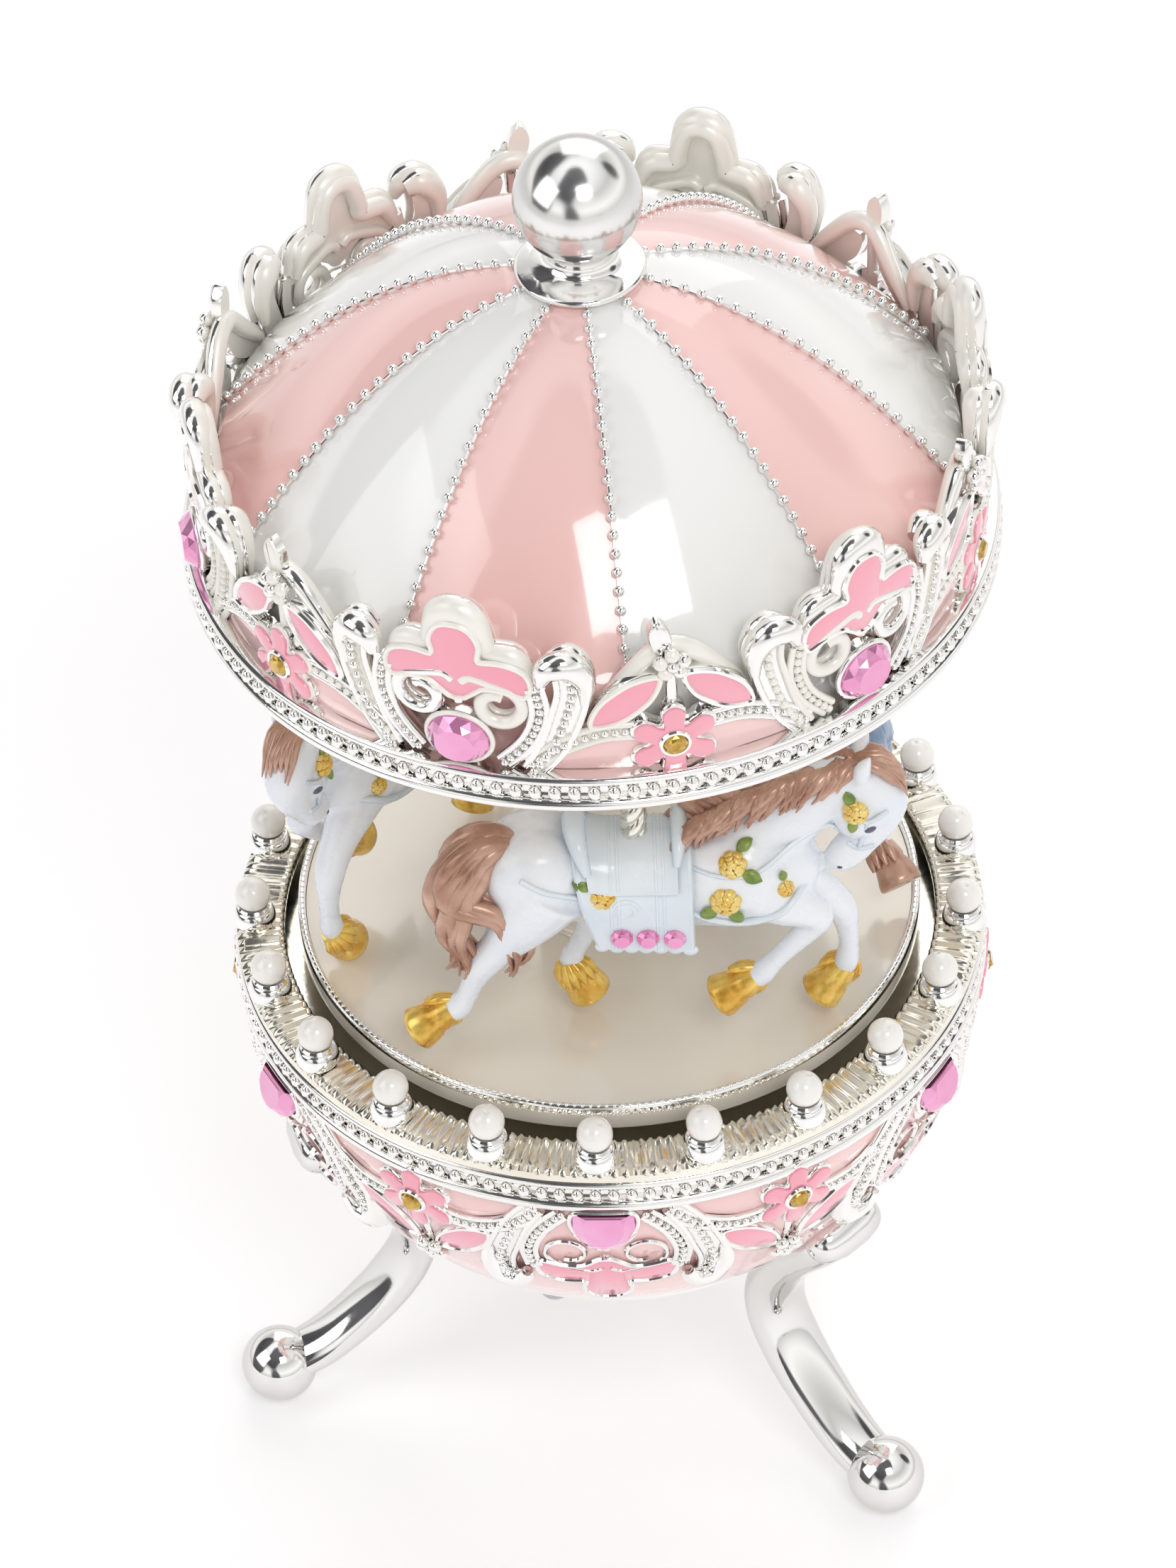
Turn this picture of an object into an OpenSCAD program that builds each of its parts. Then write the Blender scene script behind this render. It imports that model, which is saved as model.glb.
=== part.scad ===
// Carousel music box: a footed bowl with a musical movement inside, and a
// turning carousel (floor, three horses, canopy) that stands on its spindle.
// Millimetres, +Z up, Z = 0 is the table, the Z axis is the carousel's spindle.

/* [Overall] */
// outer radius of the bowl at its bead band
bowl_r = 42; // [38:0.1:50]
// height of the pearl centres above the table
pearl_z = 72.5; // [66:0.1:84]
// height from the turntable's top face to the canopy's lower edge
canopy_gap = 53; // [48:0.1:64]
// height of the openwork gallery, same casting on canopy and bowl
gallery_h = 25.5; // [20:0.1:30]

/* [Bowl] */
// thickness of the bowl's cast wall
bowl_wall = 2.2; // [1.5:0.1:3]
// depth of the bowl from rim to the bottom flange
bowl_depth = 30.4; // [26:0.1:36]
// radius of the bowl at its bottom flange
bowl_foot_r = 30; // [27:0.1:34]
// thickness of raised enamel and of the gallery's relief
relief = 0.8; // [0.4:0.1:1.2]

/* [Rim and pearls] */
// number of pearls around the rim
pearl_n = 21; // [12:1:30]
// radius of one pearl
pearl_r = 2; // [1.5:0.1:2.4]
// radius of the circle of pearls
pearl_ring_r = 40; // [36:0.1:46]
// inner radius of the fluted rim
rim_in_r = 36.6; // [33:0.1:42]
// azimuth of one pearl, degrees
pearl_az = -93.9; // [-180:0.1:180]

/* [Legs] */
// radius of the ball feet
foot_r = 4.5; // [3.5:0.1:6]
// distance from the spindle axis to a foot's centre
foot_ring_r = 42.4; // [36:0.1:50]
// width of a leg at its top
leg_w = 7.6; // [5:0.1:10]
// azimuth of the first leg, degrees; the others follow at 120
leg_az = -167; // [-180:1:180]
// how far the ball foot is ground flat below
foot_flat = 0.12; // [0.05:0.01:0.3]

/* [Carousel] */
// radius of the turntable floor
floor_r = 34.9; // [31:0.1:40]
// thickness of the turntable floor
floor_t = 2.7; // [2:0.1:4]
// radius of the centre column
column_r = 8; // [6:0.1:11]
// radius of the horses' circle
horse_ring_r = 22; // [19:0.1:26]
// azimuth of the first horse, degrees; the others follow at 120
horse_az = -82.4; // [-180:0.1:180]
// radius of a horse's pole
pole_r = 1.6; // [1:0.1:2.2]
// how far a horse's nose points out of the circle, degrees
horse_turn = 8; // [0:0.5:12]
// scale of a horse, 1 is 52 mm from tail to nose
horse_k = 1; // [0.85:0.01:1.08]

/* [Canopy] */
// outer radius of the canopy at its band
canopy_r = 42.6; // [39:0.1:50]
// thickness of the gallery's cast wall
gallery_t = 1.9; // [1.2:0.1:2.6]
// height of the dome above its skirt
dome_h = 23.3; // [18:0.1:32]
// number of gores in the dome
gores = 10; // [6:2:16]
// azimuth of one rib, degrees
rib_az = -85.8; // [-180:0.1:180]
// radius of the finial ball
ball_r = 6.7; // [5:0.1:8]
// azimuth of one trefoil of the canopy, degrees
canopy_az = -110; // [-180:0.1:180]
// azimuth of one trefoil of the bowl, degrees
bowl_az = -93; // [-180:0.1:180]

/* [Movement] */
// module of the spur gears
gear_m = 0.6; // [0.5:0.05:0.65]
// teeth of the gear on the spindle
spindle_teeth = 16; // [12:4:20]
// teeth of the barrel wheel and of the governor wheel
wheel_teeth = 32; // [32:4:36]
// teeth of the governor's pinion
governor_teeth = 12; // [12:4:16]
// radius of the spindle
spindle_r = 2; // [1.5:0.1:2.4]
// radial clearance of every running fit
run_fit = 0.06; // [0.02:0.01:0.1]
// azimuth of the winding key, degrees
key_az = 13; // [-180:1:180]

/* [Hidden] */

$fn = 72;
eps = 0.01;
seat_gap = 0.06;   // the gallery's clearance from the round wall of the bowl

// heights
rim_top = pearl_z - 3.9;            // top of the fluted rim
rim_t = 1.7;                        // its thickness
bowl_top = rim_top - rim_t;
bowl_bot = bowl_top - bowl_depth;
cover_t = 2;
flange_t = 1.5;
floor_top = pearl_z - 1.8;
floor_bot = floor_top - floor_t;
hub_bot = floor_bot - 3;
deck_t = 1.5;
deck_top = hub_bot - 0.5;
can_z = floor_top + canopy_gap;     // canopy's lower edge
band_h = 4.4;                       // height of a bead band
ceil_z = can_z + 2;
skirt_top = can_z + 13;
dome_r = canopy_r - gallery_t - 1.4;
apex = skirt_top + dome_h;
ball_z = apex + 2.2 + ball_r;

// bowl's outer profile, radius at a fraction q of its depth (0 top, 1 bottom)
function bowl_rad(q) = bowl_foot_r + (bowl_r - 0.8 - bowl_foot_r) * pow(max(0, 1 - pow(q, 2.1)), 0.72);
bowl_n = 9;
function bowl_line(off, i0, i1) = [for (i = [i0:i1]) [bowl_rad(i / bowl_n) + off, bowl_top - i / bowl_n * bowl_depth]];
function rev(a) = [for (i = [len(a) - 1:-1:0]) a[i]];
// dome's profile
function dome_z(r, off) = skirt_top + (dome_h + off) * (1 - pow(min(1, r / (dome_r + off)), 2.2));

silver = [0.86, 0.85, 0.83];
pale_pink = [0.97, 0.77, 0.77];
pink = [0.99, 0.62, 0.72];
stone_pink = [0.9, 0.4, 0.7];
amber = [0.72, 0.5, 0.05];
brass = [0.8, 0.65, 0.3];
steel = [0.6, 0.6, 0.62];

// a flat shape (x along the wall, y up) cut out of a wall seen from the axis
module radial(az, z, r0 = 20, r1 = 50) {
  rotate([0, 0, az]) translate([r0, 0, z]) rotate([90, 0, 90]) linear_extrude(r1 - r0) children();
}
module six(az0) { for (i = [0:5]) rotate([0, 0, az0 + 60 * i]) children(); }
module three(az0) { for (i = [0:2]) rotate([0, 0, az0 + 120 * i]) children(); }

// ---------- gallery motifs, drawn upright from the band's edge
module dot(p, r) { translate(p) circle(r); }
module bar(a, b, w) {
  d = b - a; l = norm(d); n = [-d[1], d[0]] / l * w / 2;
  polygon([a + n, a - n, b - n, b + n]);
}
trefoil_y = 0.66 * gallery_h;
module trefoil(g = 0) {
  translate([-6 - g, trefoil_y - 1.6 - g]) square([12 + 2 * g, 3.2 + 2 * g]);
  translate([-1.7 - g, trefoil_y]) square([3.4 + 2 * g, gallery_h - trefoil_y - 2.6]);
  dot([-5.4, trefoil_y - 0.4], 1.9 + g);
  dot([5.4, trefoil_y - 0.4], 1.9 + g);
  dot([0, gallery_h - 3.2], 2.4 + g);
}
module petals() {
  for (s = [-1, 1]) bar([s * 1.2, 0.64 * gallery_h], [s * 6.4, 0.46 * gallery_h], 3.2);
}
module scrolls() {
  for (s = [-1, 1]) difference() {
    dot([s * 3.3, 13.1], 3.1);
    dot([s * 3.3, 13.1], 1.5);
  }
}
module finger(s) {
  bar([s * 6.2, 3.5], [s * 9.4, 12], 2.6);
  bar([s * 9.4, 11.4], [s * 11, 19], 2.8);
  dot([s * 9.4, 11.8], 1.4);
  dot([s * 11.2, 0.74 * gallery_h], 2.2);
}
module motif_a() {
  trefoil(0.6);
  scrolls();
  dot([0, 8], 4.6);
  bar([-7, 3], [-5.6, 13], 2);
  bar([7, 3], [5.6, 13], 2);
  finger(-1);
  finger(1);
}
module motif_b() {
  dot([0, 0.75 * gallery_h], 2.1);
  bar([0, 8], [0, 18], 2.2);
  for (s = [-1, 1]) bar([s * 1, 0.64 * gallery_h], [s * 6.8, 0.45 * gallery_h], 4.2);
  dot([0, 8], 4.8);
}

module bead_band(r, z, t) {
  difference() {
    union() {
      translate([0, 0, z]) cylinder(r = r, h = band_h);
      translate([0, 0, z]) rotate_extrude() {
        translate([r, 0.6]) circle(0.6);
        translate([r, band_h - 0.6]) circle(0.6);
        translate([r, band_h / 2]) circle(0.75);
      }
    }
    translate([0, 0, z - 1]) cylinder(r = r - t, h = band_h + 2);
  }
}
module round_stones(az0, n, r, z, d, t) {
  for (i = [0:n - 1]) rotate([0, 0, az0 + 360 / n * i]) translate([r, 0, z]) rotate([0, 90, 0])
    cylinder(r1 = d / 2, r2 = d / 3.4, h = t);
}
module daisy_2d() {
  dot([0, 0], 2.2);
  for (i = [0:4]) rotate(90 + 72 * i) translate([2.6, 0]) circle(1.75);
}

// ---------- bowl
module bowl_outer(off, fn = 72) {
  rotate_extrude($fn = fn) polygon(concat([[0, bowl_top]], bowl_line(off, 0, bowl_n), [[0, bowl_bot]]));
}
module base_bowl() {
  color(silver) difference() {
    bowl_outer(0);
    rotate_extrude() polygon(concat([[0, bowl_top + 1], [bowl_r - 0.8 - bowl_wall, bowl_top + 1]],
      [[bowl_r - 0.8 - bowl_wall, deck_top - deck_t], [bowl_r - 2.4 - bowl_wall, deck_top - deck_t]],
      bowl_line(-bowl_wall, 3, bowl_n - 1),
      [[bowl_foot_r - 0.9, bowl_bot + flange_t], [bowl_foot_r - 4, bowl_bot + flange_t],
       [bowl_foot_r - 4, bowl_bot - 1], [0, bowl_bot - 1]]));
    cover_holes(0.9, bowl_bot - 1, 3);
    three(leg_az) translate([bowl_foot_r - 1, 0, bowl_bot + 3.4]) rotate([0, 90, 0])
      cylinder(r = 0.9, h = 6);
  }
}
module cover_holes(r, z, h) {
  three(leg_az + 60) translate([bowl_foot_r - 2.4, 0, z]) cylinder(r = r, h = h);
}
module bowl_bead_band() { color(silver) bead_band(bowl_r - 0.05, bowl_top - band_h, 0.75 - eps); }
module bowl_shell(a, b) {
  rotate_extrude() polygon(concat(bowl_line(b, 1, bowl_n), rev(bowl_line(a, 1, bowl_n))));
}
module on_bowl(az0) {
  for (i = [0:5]) radial(az0 + 60 * i, bowl_top - band_h) mirror([0, 1]) children();
}
// room for the legs' tops in whatever lies on the bowl
module leg_room() {
  three(leg_az) translate([20, -leg_w / 2 - 0.1, bowl_bot - 1]) cube([30, leg_w + 0.2, 9]);
}
module bowl_gallery() {
  color(silver) difference() {
    intersection() {
      bowl_shell(seat_gap, relief);
      union() { on_bowl(bowl_az) motif_a(); on_bowl(bowl_az + 30) motif_b(); }
    }
    leg_room();
  }
}
module bowl_enamel() {
  color(pink) difference() {
    intersection() {
      bowl_shell(relief, relief + 0.5);
      union() { on_bowl(bowl_az) trefoil(); on_bowl(bowl_az + 30) petals(); }
    }
    leg_room();
  }
}
stone_dz = 7.2;   // stones sit this far from the band's edge
function bowl_seat(z) = bowl_rad((bowl_top - z) / bowl_depth) + relief;
bowl_stone_z = bowl_top - band_h - stone_dz;
module bowl_pink_stones() {
  color(stone_pink) difference() {
    round_stones(bowl_az, 6, bowl_seat(bowl_stone_z) - 1, bowl_stone_z, 6.4, 2.8);
    bowl_outer(relief + 0.02, 240);
  }
}
module bowl_daisies() {
  color(pink) intersection() {
    bowl_shell(relief, relief + 0.9);
    for (i = [0:5]) radial(bowl_az + 30 + 60 * i, bowl_stone_z) daisy_2d();
  }
}
module bowl_amber_stones() {
  color(amber) difference() {
    round_stones(bowl_az + 30, 6, bowl_seat(bowl_stone_z), bowl_stone_z, 2.6, 2);
    bowl_outer(relief + 0.92, 240);
  }
}
module fluted_rim() {
  color(silver) difference() {
    translate([0, 0, bowl_top]) cylinder(r = bowl_r, h = rim_t);
    translate([0, 0, bowl_top - 1]) cylinder(r = rim_in_r, h = rim_t + 2);
  }
}
module pearl_places() {
  for (i = [0:pearl_n - 1]) rotate([0, 0, pearl_az + 360 / pearl_n * i])
    translate([pearl_ring_r, 0, 0]) children();
}
cup_r = pearl_r - 0.15;
module pearl_cups() {
  color(silver) pearl_places() difference() {
    translate([0, 0, rim_top]) cylinder(r1 = cup_r, r2 = cup_r - 0.35, h = pearl_z - pearl_r - rim_top + 0.7);
    translate([0, 0, pearl_z]) sphere(pearl_r);
  }
}
module pearls() { color([0.97, 0.96, 0.93]) pearl_places() translate([0, 0, pearl_z]) sphere(pearl_r); }

// ---------- legs: a scroll in the upright plane through the axis
leg_pts = [[36.2, 41.3, 2.1], [33.6, 38, 2.5], [29.6, 33.6, 2.8], [26.4, 28.6, 2.6],
  [24.9, 23.8, 2.4], [25.6, 19.2, 2.2], [28.6, 14.4, 2], [32.8, 10, 1.8], [37.4, 6.4, 1.7],
  [42.4, 4.4, 1.6]];
function leg_pt(i) = let (p = leg_pts[max(0, min(len(leg_pts) - 1, i))])
  [p[0] * foot_ring_r / 42.4, p[1] * bowl_bot / 36.5, p[2]];
function spline(i, t) = let (a = leg_pt(i - 1), b = leg_pt(i), c = leg_pt(i + 1), d = leg_pt(i + 2))
  0.5 * (2 * b + (c - a) * t + (2 * a - 5 * b + 4 * c - d) * t * t + (3 * b - a - 3 * c + d) * t * t * t);
leg_line = [for (i = [0:len(leg_pts) - 2]) for (k = [0:2]) spline(i, k / 3)];
function leg_edge(s) = [for (i = [0:len(leg_line) - 1]) let (a = leg_line[max(0, i - 1)],
  b = leg_line[min(len(leg_line) - 1, i + 1)], d = [b[0] - a[0], b[1] - a[1]], l = norm(d), p = leg_line[i])
  [p[0] - s * d[1] / l * p[2], p[1] + s * d[0] / l * p[2]]];
module leg(i) {
  color(silver) rotate([0, 0, leg_az + 120 * i]) difference() {
    union() {
      intersection() {
        translate([0, leg_w / 2, 0]) rotate([90, 0, 0]) linear_extrude(leg_w)
          polygon(concat(leg_edge(1), rev(leg_edge(-1))));
        linear_extrude(60) polygon([[15, -leg_w / 2], [30, -leg_w / 2], [foot_ring_r + 1, -2.3],
          [foot_ring_r + 1, 2.3], [30, leg_w / 2], [15, leg_w / 2]]);
      }
      translate([leg_pt(0)[0], leg_w / 2 - 0.4, leg_pt(0)[1]]) rotate([90, 0, 0]) cylinder(r = 2.6, h = leg_w - 0.8);
      translate([foot_ring_r, 0, foot_r - foot_flat]) sphere(foot_r);
    }
    bowl_outer(0);
    translate([0, 0, -5]) cylinder(r = 80, h = 5);
    translate([0, 0, bowl_bot - cover_t]) cylinder(r = bowl_foot_r - 0.4, h = cover_t + 1);
    translate([bowl_foot_r - 1, 0, bowl_bot + 3.4]) rotate([0, 90, 0]) cylinder(r = 0.9, h = 7.4);
  }
}
module leg_1() { leg(0); }
module leg_2() { leg(1); }
module leg_3() { leg(2); }
module leg_screws() {
  color(steel) three(leg_az) translate([0, 0, bowl_bot + 3.4]) {
    translate([bowl_foot_r + 0.5, 0, 0]) rotate([0, 90, 0]) cylinder(r = 0.9, h = 5.9);
  }
}

// ---------- underside and movement
module mv(p = [0, 0]) { rotate([0, 0, key_az]) translate([p[0], p[1], 0]) children(); }
bed_z = bowl_bot + flange_t;
bed_t = 2;
bed_top = bed_z + bed_t;
gear_z = bed_top + 6;
gear_t = 2;
function pr(n) = gear_m * n / 2;
barrel_x = pr(spindle_teeth) + pr(wheel_teeth);
gov_y = pr(wheel_teeth) + pr(governor_teeth);
arbor_r = 2;
pin_r = 0.9;
bed_r = bowl_foot_r - 1.3;

module bottom_cover() {
  color(silver) difference() {
    translate([0, 0, bowl_bot - cover_t]) cylinder(r = bowl_foot_r - 0.5, h = cover_t);
    mv([barrel_x, 0]) translate([0, 0, bowl_bot - cover_t - 1]) cylinder(r = arbor_r + 0.6, h = cover_t + 2);
    cover_holes(0.9, bowl_bot - cover_t - 1, cover_t + 2);
  }
}
module cover_screws() {
  color(steel) union() {
    cover_holes(0.9, bowl_bot - cover_t, cover_t + 1.4);
    cover_holes(1.7, bowl_bot - cover_t - 0.9, 0.9);
  }
}
module deck_plate() {
  color(steel) difference() {
    translate([0, 0, deck_top - deck_t]) cylinder(r = bowl_r - 0.8 - bowl_wall - 0.05, h = deck_t);
    translate([0, 0, deck_top - deck_t - 1]) cylinder(r = spindle_r + run_fit, h = deck_t + 2);
  }
}
module movement_bedplate() {
  color(brass) difference() {
    union() {
      translate([0, 0, bed_z]) cylinder(r = bed_r, h = bed_t);
      for (p = [[-barrel_x, 0], [-barrel_x, gov_y]]) mv(p) {
        translate([0, 0, bed_z]) cylinder(r = 2.2, h = gear_z - bed_z - 0.3);
        translate([0, 0, bed_z]) cylinder(r = pin_r, h = gear_z - bed_z + gear_t + 0.8);
      }
      mv([-barrel_x, gov_y]) translate([0, 0, bed_z]) cylinder(r = pin_r, h = gear_z - bed_z + 11);
    }
    translate([0, 0, bed_z - 1]) cylinder(r = spindle_r + run_fit, h = bed_t + 2);
    mv([barrel_x, 0]) translate([0, 0, bed_z - 1]) cylinder(r = arbor_r + run_fit, h = bed_t + 2);
  }
}
// spur gear outline with short teeth and wide gaps
function gear_pts(n, m, off) = [for (i = [0:n - 1]) for (k = [0:3])
  let (a = 360 / n * (i + off + [-0.23, -0.11, 0.11, 0.23][k]),
    r = m * (n / 2 + [-1.15, 0.75, 0.75, -1.15][k])) [r * cos(a), r * sin(a)]];
module gear(n, m, t, off = 0) { linear_extrude(t) polygon(gear_pts(n, m, off)); }

cyl_r = 5.2;
cyl_y0 = -pr(wheel_teeth) - 2.5;
cyl_len = 11;
crown_r = 7.6;
crown_n = 32;
pin_teeth = 16;
crown_m = 2 * crown_r / crown_n;
shaft_z = gear_z + gear_t + 0.5 + crown_m * pin_teeth / 2;
module cylinder_brackets() {
  color(brass) difference() {
    mv([barrel_x, 0]) for (y = [cyl_y0 + 1.5, cyl_y0 - cyl_len - 0.7])
      translate([-2, y - 1.2, bed_top]) cube([4, 1.2, shaft_z + 2 - bed_top]);
    mv([barrel_x, 0]) translate([0, 0, shaft_z]) rotate([90, 0, 0]) cylinder(r = 0.8 + run_fit, h = 40);
  }
}
comb_x1 = barrel_x - cyl_r - 0.8;
comb_z = shaft_z - 0.3;
module comb_block() {
  color(brass) mv() difference() {
    translate([comb_x1 - 12, cyl_y0 - cyl_len, bed_top]) cube([7, cyl_len, comb_z - bed_top]);
    for (k = [0:1]) translate([comb_x1 - 9.5, cyl_y0 - 2 - k * (cyl_len - 4), comb_z - 4]) cylinder(r = 0.8, h = 5);
  }
}
module tone_comb() {
  n = 17;
  color(steel) mv() difference() {
    translate([comb_x1 - 12, cyl_y0 - cyl_len, comb_z]) cube([12, cyl_len, 0.8]);
    for (k = [1:n]) translate([comb_x1 - 5, cyl_y0 - cyl_len + k * cyl_len / (n + 1) - 0.1, comb_z - 1]) cube([6, 0.2, 3]);
    for (k = [0:1]) translate([comb_x1 - 9.5, cyl_y0 - 2 - k * (cyl_len - 4), comb_z - 1]) cylinder(r = 0.8, h = 5);
  }
}
module comb_screws() {
  color(steel) mv() for (k = [0:1]) translate([comb_x1 - 9.5, cyl_y0 - 2 - k * (cyl_len - 4), 0]) {
    translate([0, 0, comb_z - 3.5]) cylinder(r = 0.8, h = 4.4);
    translate([0, 0, comb_z + 0.8]) cylinder(r = 1.5, h = 0.8);
  }
}
module barrel_wheel() {
  color(brass) mv([barrel_x, 0]) difference() {
    union() {
      translate([0, 0, gear_z]) gear(wheel_teeth, gear_m, gear_t, 0.5);
      translate([0, 0, bed_top + 0.3]) cylinder(r = 8.6, h = gear_z - bed_top);
      for (i = [0:crown_n - 1]) rotate([0, 0, (i + 0.5) * 360 / crown_n])
        translate([crown_r - 1, -0.25, gear_z + gear_t - 0.2]) cube([2, 0.5, 1.2]);
    }
    translate([0, 0, bed_top]) cylinder(r = arbor_r + run_fit, h = 20);
    translate([0, 0, bed_top + 1.1]) cylinder(r = 7.8, h = gear_z - bed_top - 1.1);
  }
}
module mainspring() {
  n = 72;
  function sp(k, w) = let (a = 360 * 5 * k / n, r = 3 + 4.8 * k / n - w) [r * cos(a), r * sin(a)];
  color(steel) mv([barrel_x, 0]) intersection() {
    translate([0, 0, bed_top + 1.1]) linear_extrude(gear_z - bed_top - 1.4)
      polygon(concat([for (k = [0:n]) sp(k, 0)], [for (k = [n:-1:0]) sp(k, 0.35)]));
    translate([0, 0, bed_top]) cylinder(r = 7.8, h = 20);
  }
}
module music_cylinder() {
  color(brass) mv([barrel_x, 0]) translate([0, 0, shaft_z]) rotate([90, 0, 0]) {
    translate([0, 0, crown_r - 1.5]) cylinder(r = 0.8, h = -cyl_y0 + cyl_len + 3 - crown_r);
    translate([0, 0, crown_r - 0.8]) rotate([0, 0, 0]) gear(pin_teeth, crown_m, 1.6, 0);
    translate([0, 0, -cyl_y0 + 0.3]) cylinder(r = cyl_r, h = cyl_len - 0.3);
    for (k = [0:23]) rotate([0, 0, k * 67]) translate([cyl_r - 0.5, 0, -cyl_y0 + 1.1 + k * 0.4])
      rotate([0, 90, 0]) cylinder(r = 0.16, h = 0.8, $fn = 16);
  }
}
module governor_wheel() {
  color(brass) mv([-barrel_x, 0]) translate([0, 0, gear_z]) difference() {
    gear(wheel_teeth, gear_m, gear_t, 0.5);
    translate([0, 0, -1]) cylinder(r = pin_r + run_fit, h = 5);
  }
}
module governor_fan() {
  color(brass) mv([-barrel_x, gov_y]) translate([0, 0, gear_z]) difference() {
    union() {
      gear(governor_teeth, gear_m, gear_t, 0);
      cylinder(r = 2, h = 9);
      translate([-5.4, -0.4, 3.2]) cube([10.8, 0.8, 5.6]);
    }
    translate([0, 0, -1]) cylinder(r = pin_r + run_fit, h = 12);
  }
}
module winding_key() {
  color(brass) mv([barrel_x, 0]) {
    translate([0, 0, bowl_bot - cover_t - 8]) cylinder(r = arbor_r, h = gear_z + gear_t + 0.6 - bowl_bot + cover_t + 8);
    difference() {
      translate([-1, -8.5, bowl_bot - cover_t - 15]) cube([2, 17, 9]);
      for (s = [-1, 1]) translate([-2, s * 4.9, bowl_bot - cover_t - 10.5]) rotate([0, 90, 0]) cylinder(r = 2.2, h = 4);
    }
  }
}

// ---------- carousel
module turntable_floor() {
  color([0.9, 0.87, 0.8]) difference() {
    union() {
      translate([0, 0, floor_bot]) cylinder(r = floor_r, h = floor_t);
      translate([0, 0, hub_bot]) cylinder(r = 6, h = 3.5);
    }
    translate([0, 0, hub_bot - 1]) cylinder(r = spindle_r, h = 20);
    translate([0, 0, floor_top - 0.5]) difference() {
      cylinder(r = floor_r + 1, h = 2);
      translate([0, 0, -1]) cylinder(r = floor_r - 0.9, h = 4);
    }
  }
}
module floor_rim() {
  color(silver) difference() {
    union() {
      translate([0, 0, floor_top - 0.5]) cylinder(r = floor_r, h = 0.9);
      translate([0, 0, floor_top + 0.4]) rotate_extrude() translate([floor_r - 0.45, 0]) circle(0.45);
    }
    translate([0, 0, floor_top - 1]) cylinder(r = floor_r - 0.9, h = 3);
  }
}
module spindle() { color(steel) translate([0, 0, bed_z + 0.3]) cylinder(r = spindle_r, h = floor_top + 6 - bed_z); }
module spindle_gear() {
  color(brass) mv() translate([0, 0, gear_z]) difference() {
    union() { gear(spindle_teeth, gear_m, gear_t, 0); translate([0, 0, gear_t - eps]) cylinder(r = 3.2, h = 3); }
    translate([0, 0, -1]) cylinder(r = spindle_r, h = 8);
  }
}
module centre_column() {
  color([0.93, 0.9, 0.84]) difference() {
    union() {
      translate([0, 0, floor_top]) cylinder(r = column_r, h = ceil_z - floor_top);
      translate([0, 0, floor_top]) cylinder(r = column_r + 0.8, h = 1);
      translate([0, 0, ceil_z - 1]) cylinder(r = column_r + 0.8, h = 1);
    }
    translate([0, 0, floor_top - 1]) cylinder(r = spindle_r, h = 7.3);
  }
}
module canopy_ceiling() {
  color([0.93, 0.9, 0.84]) difference() {
    translate([0, 0, ceil_z]) cylinder(r = canopy_r - gallery_t, h = 1.4);
    poles_cut();
  }
}
module poles_cut() {
  three(horse_az) translate([horse_ring_r, 0, floor_top + horse_hole + 1]) cylinder(r = pole_r, h = ceil_z + 1.2 - floor_top - horse_hole - 1);
}
module canopy_dome() {
  n = 12;
  color(pale_pink) difference() {
    rotate_extrude() polygon(concat([[0, ceil_z + 1.4], [dome_r, ceil_z + 1.4]],
      [for (i = [0:n]) let (r = dome_r * (1 - i / n)) [r, dome_z(r, 0)]]));
    rotate_extrude() polygon(concat([[0, ceil_z + 1], [dome_r - 1.6, ceil_z + 1]],
      [for (i = [0:n]) let (r = (dome_r - 1.6) * (1 - i / n)) [r, skirt_top + (dome_h - 1.6) * (1 - pow(r / (dome_r - 1.6), 2.2))]]));
    collar_cut();
  }
}
module collar_cut() { translate([0, 0, apex - 3.4]) cylinder(r = 3.4, h = 10); }
rib_t = 0.7;
module dome_ribs() {
  n = 10;   // the ribs' corners lie on the dome's own corners
  r0 = dome_r / 6;
  color(silver) for (i = [0:gores - 1]) rotate([0, 0, rib_az + 360 / gores * i])
    translate([0, 0.4, 0]) rotate([90, 0, 0]) linear_extrude(0.8)
      polygon(concat([for (k = [0:n]) let (r = r0 + (dome_r - 0.02 - r0) * k / n) [r, dome_z(r, 0) + eps]],
        [for (k = [n:-1:0]) let (r = r0 + (dome_r - 0.02 - r0) * k / n) [r + rib_t * k / n, dome_z(r, 0) + (k == 0 ? 0.4 : rib_t)]]));
}
module canopy_bead_band() { color(silver) bead_band(canopy_r, can_z, gallery_t); }
module wall(a, b, z0, z1) {
  difference() {
    translate([0, 0, z0]) cylinder(r = b, h = z1 - z0);
    translate([0, 0, z0 - 1]) cylinder(r = a, h = z1 - z0 + 2);
  }
}
module canopy_gallery() {
  zb = can_z + band_h;
  color(silver) intersection() {
    wall(canopy_r - gallery_t, canopy_r, zb, can_z + gallery_h);
    union() {
      translate([0, 0, zb]) cylinder(r = 60, h = 2.2);
      for (i = [0:5]) {
        radial(canopy_az + 60 * i, can_z) motif_a();
        radial(canopy_az + 30 + 60 * i, can_z) motif_b();
      }
    }
  }
}
module canopy_enamel() {
  color(pink) intersection() {
    wall(canopy_r, canopy_r + 0.5, can_z + band_h, can_z + gallery_h);
    for (i = [0:5]) {
      radial(canopy_az + 60 * i, can_z) trefoil();
      radial(canopy_az + 30 + 60 * i, can_z) petals();
    }
  }
}
can_stone_z = can_z + 8;
module canopy_pink_stones() {
  color(stone_pink) difference() {
    round_stones(canopy_az, 6, canopy_r - 0.6, can_stone_z, 6.4, 2.4);
    translate([0, 0, can_z]) cylinder(r = canopy_r, h = 20, $fn = 240);
  }
}
module canopy_daisies() {
  color(pink) intersection() {
    wall(canopy_r, canopy_r + 0.9, can_z + band_h, can_z + gallery_h);
    for (i = [0:5]) radial(canopy_az + 30 + 60 * i, can_stone_z) daisy_2d();
  }
}
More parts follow.
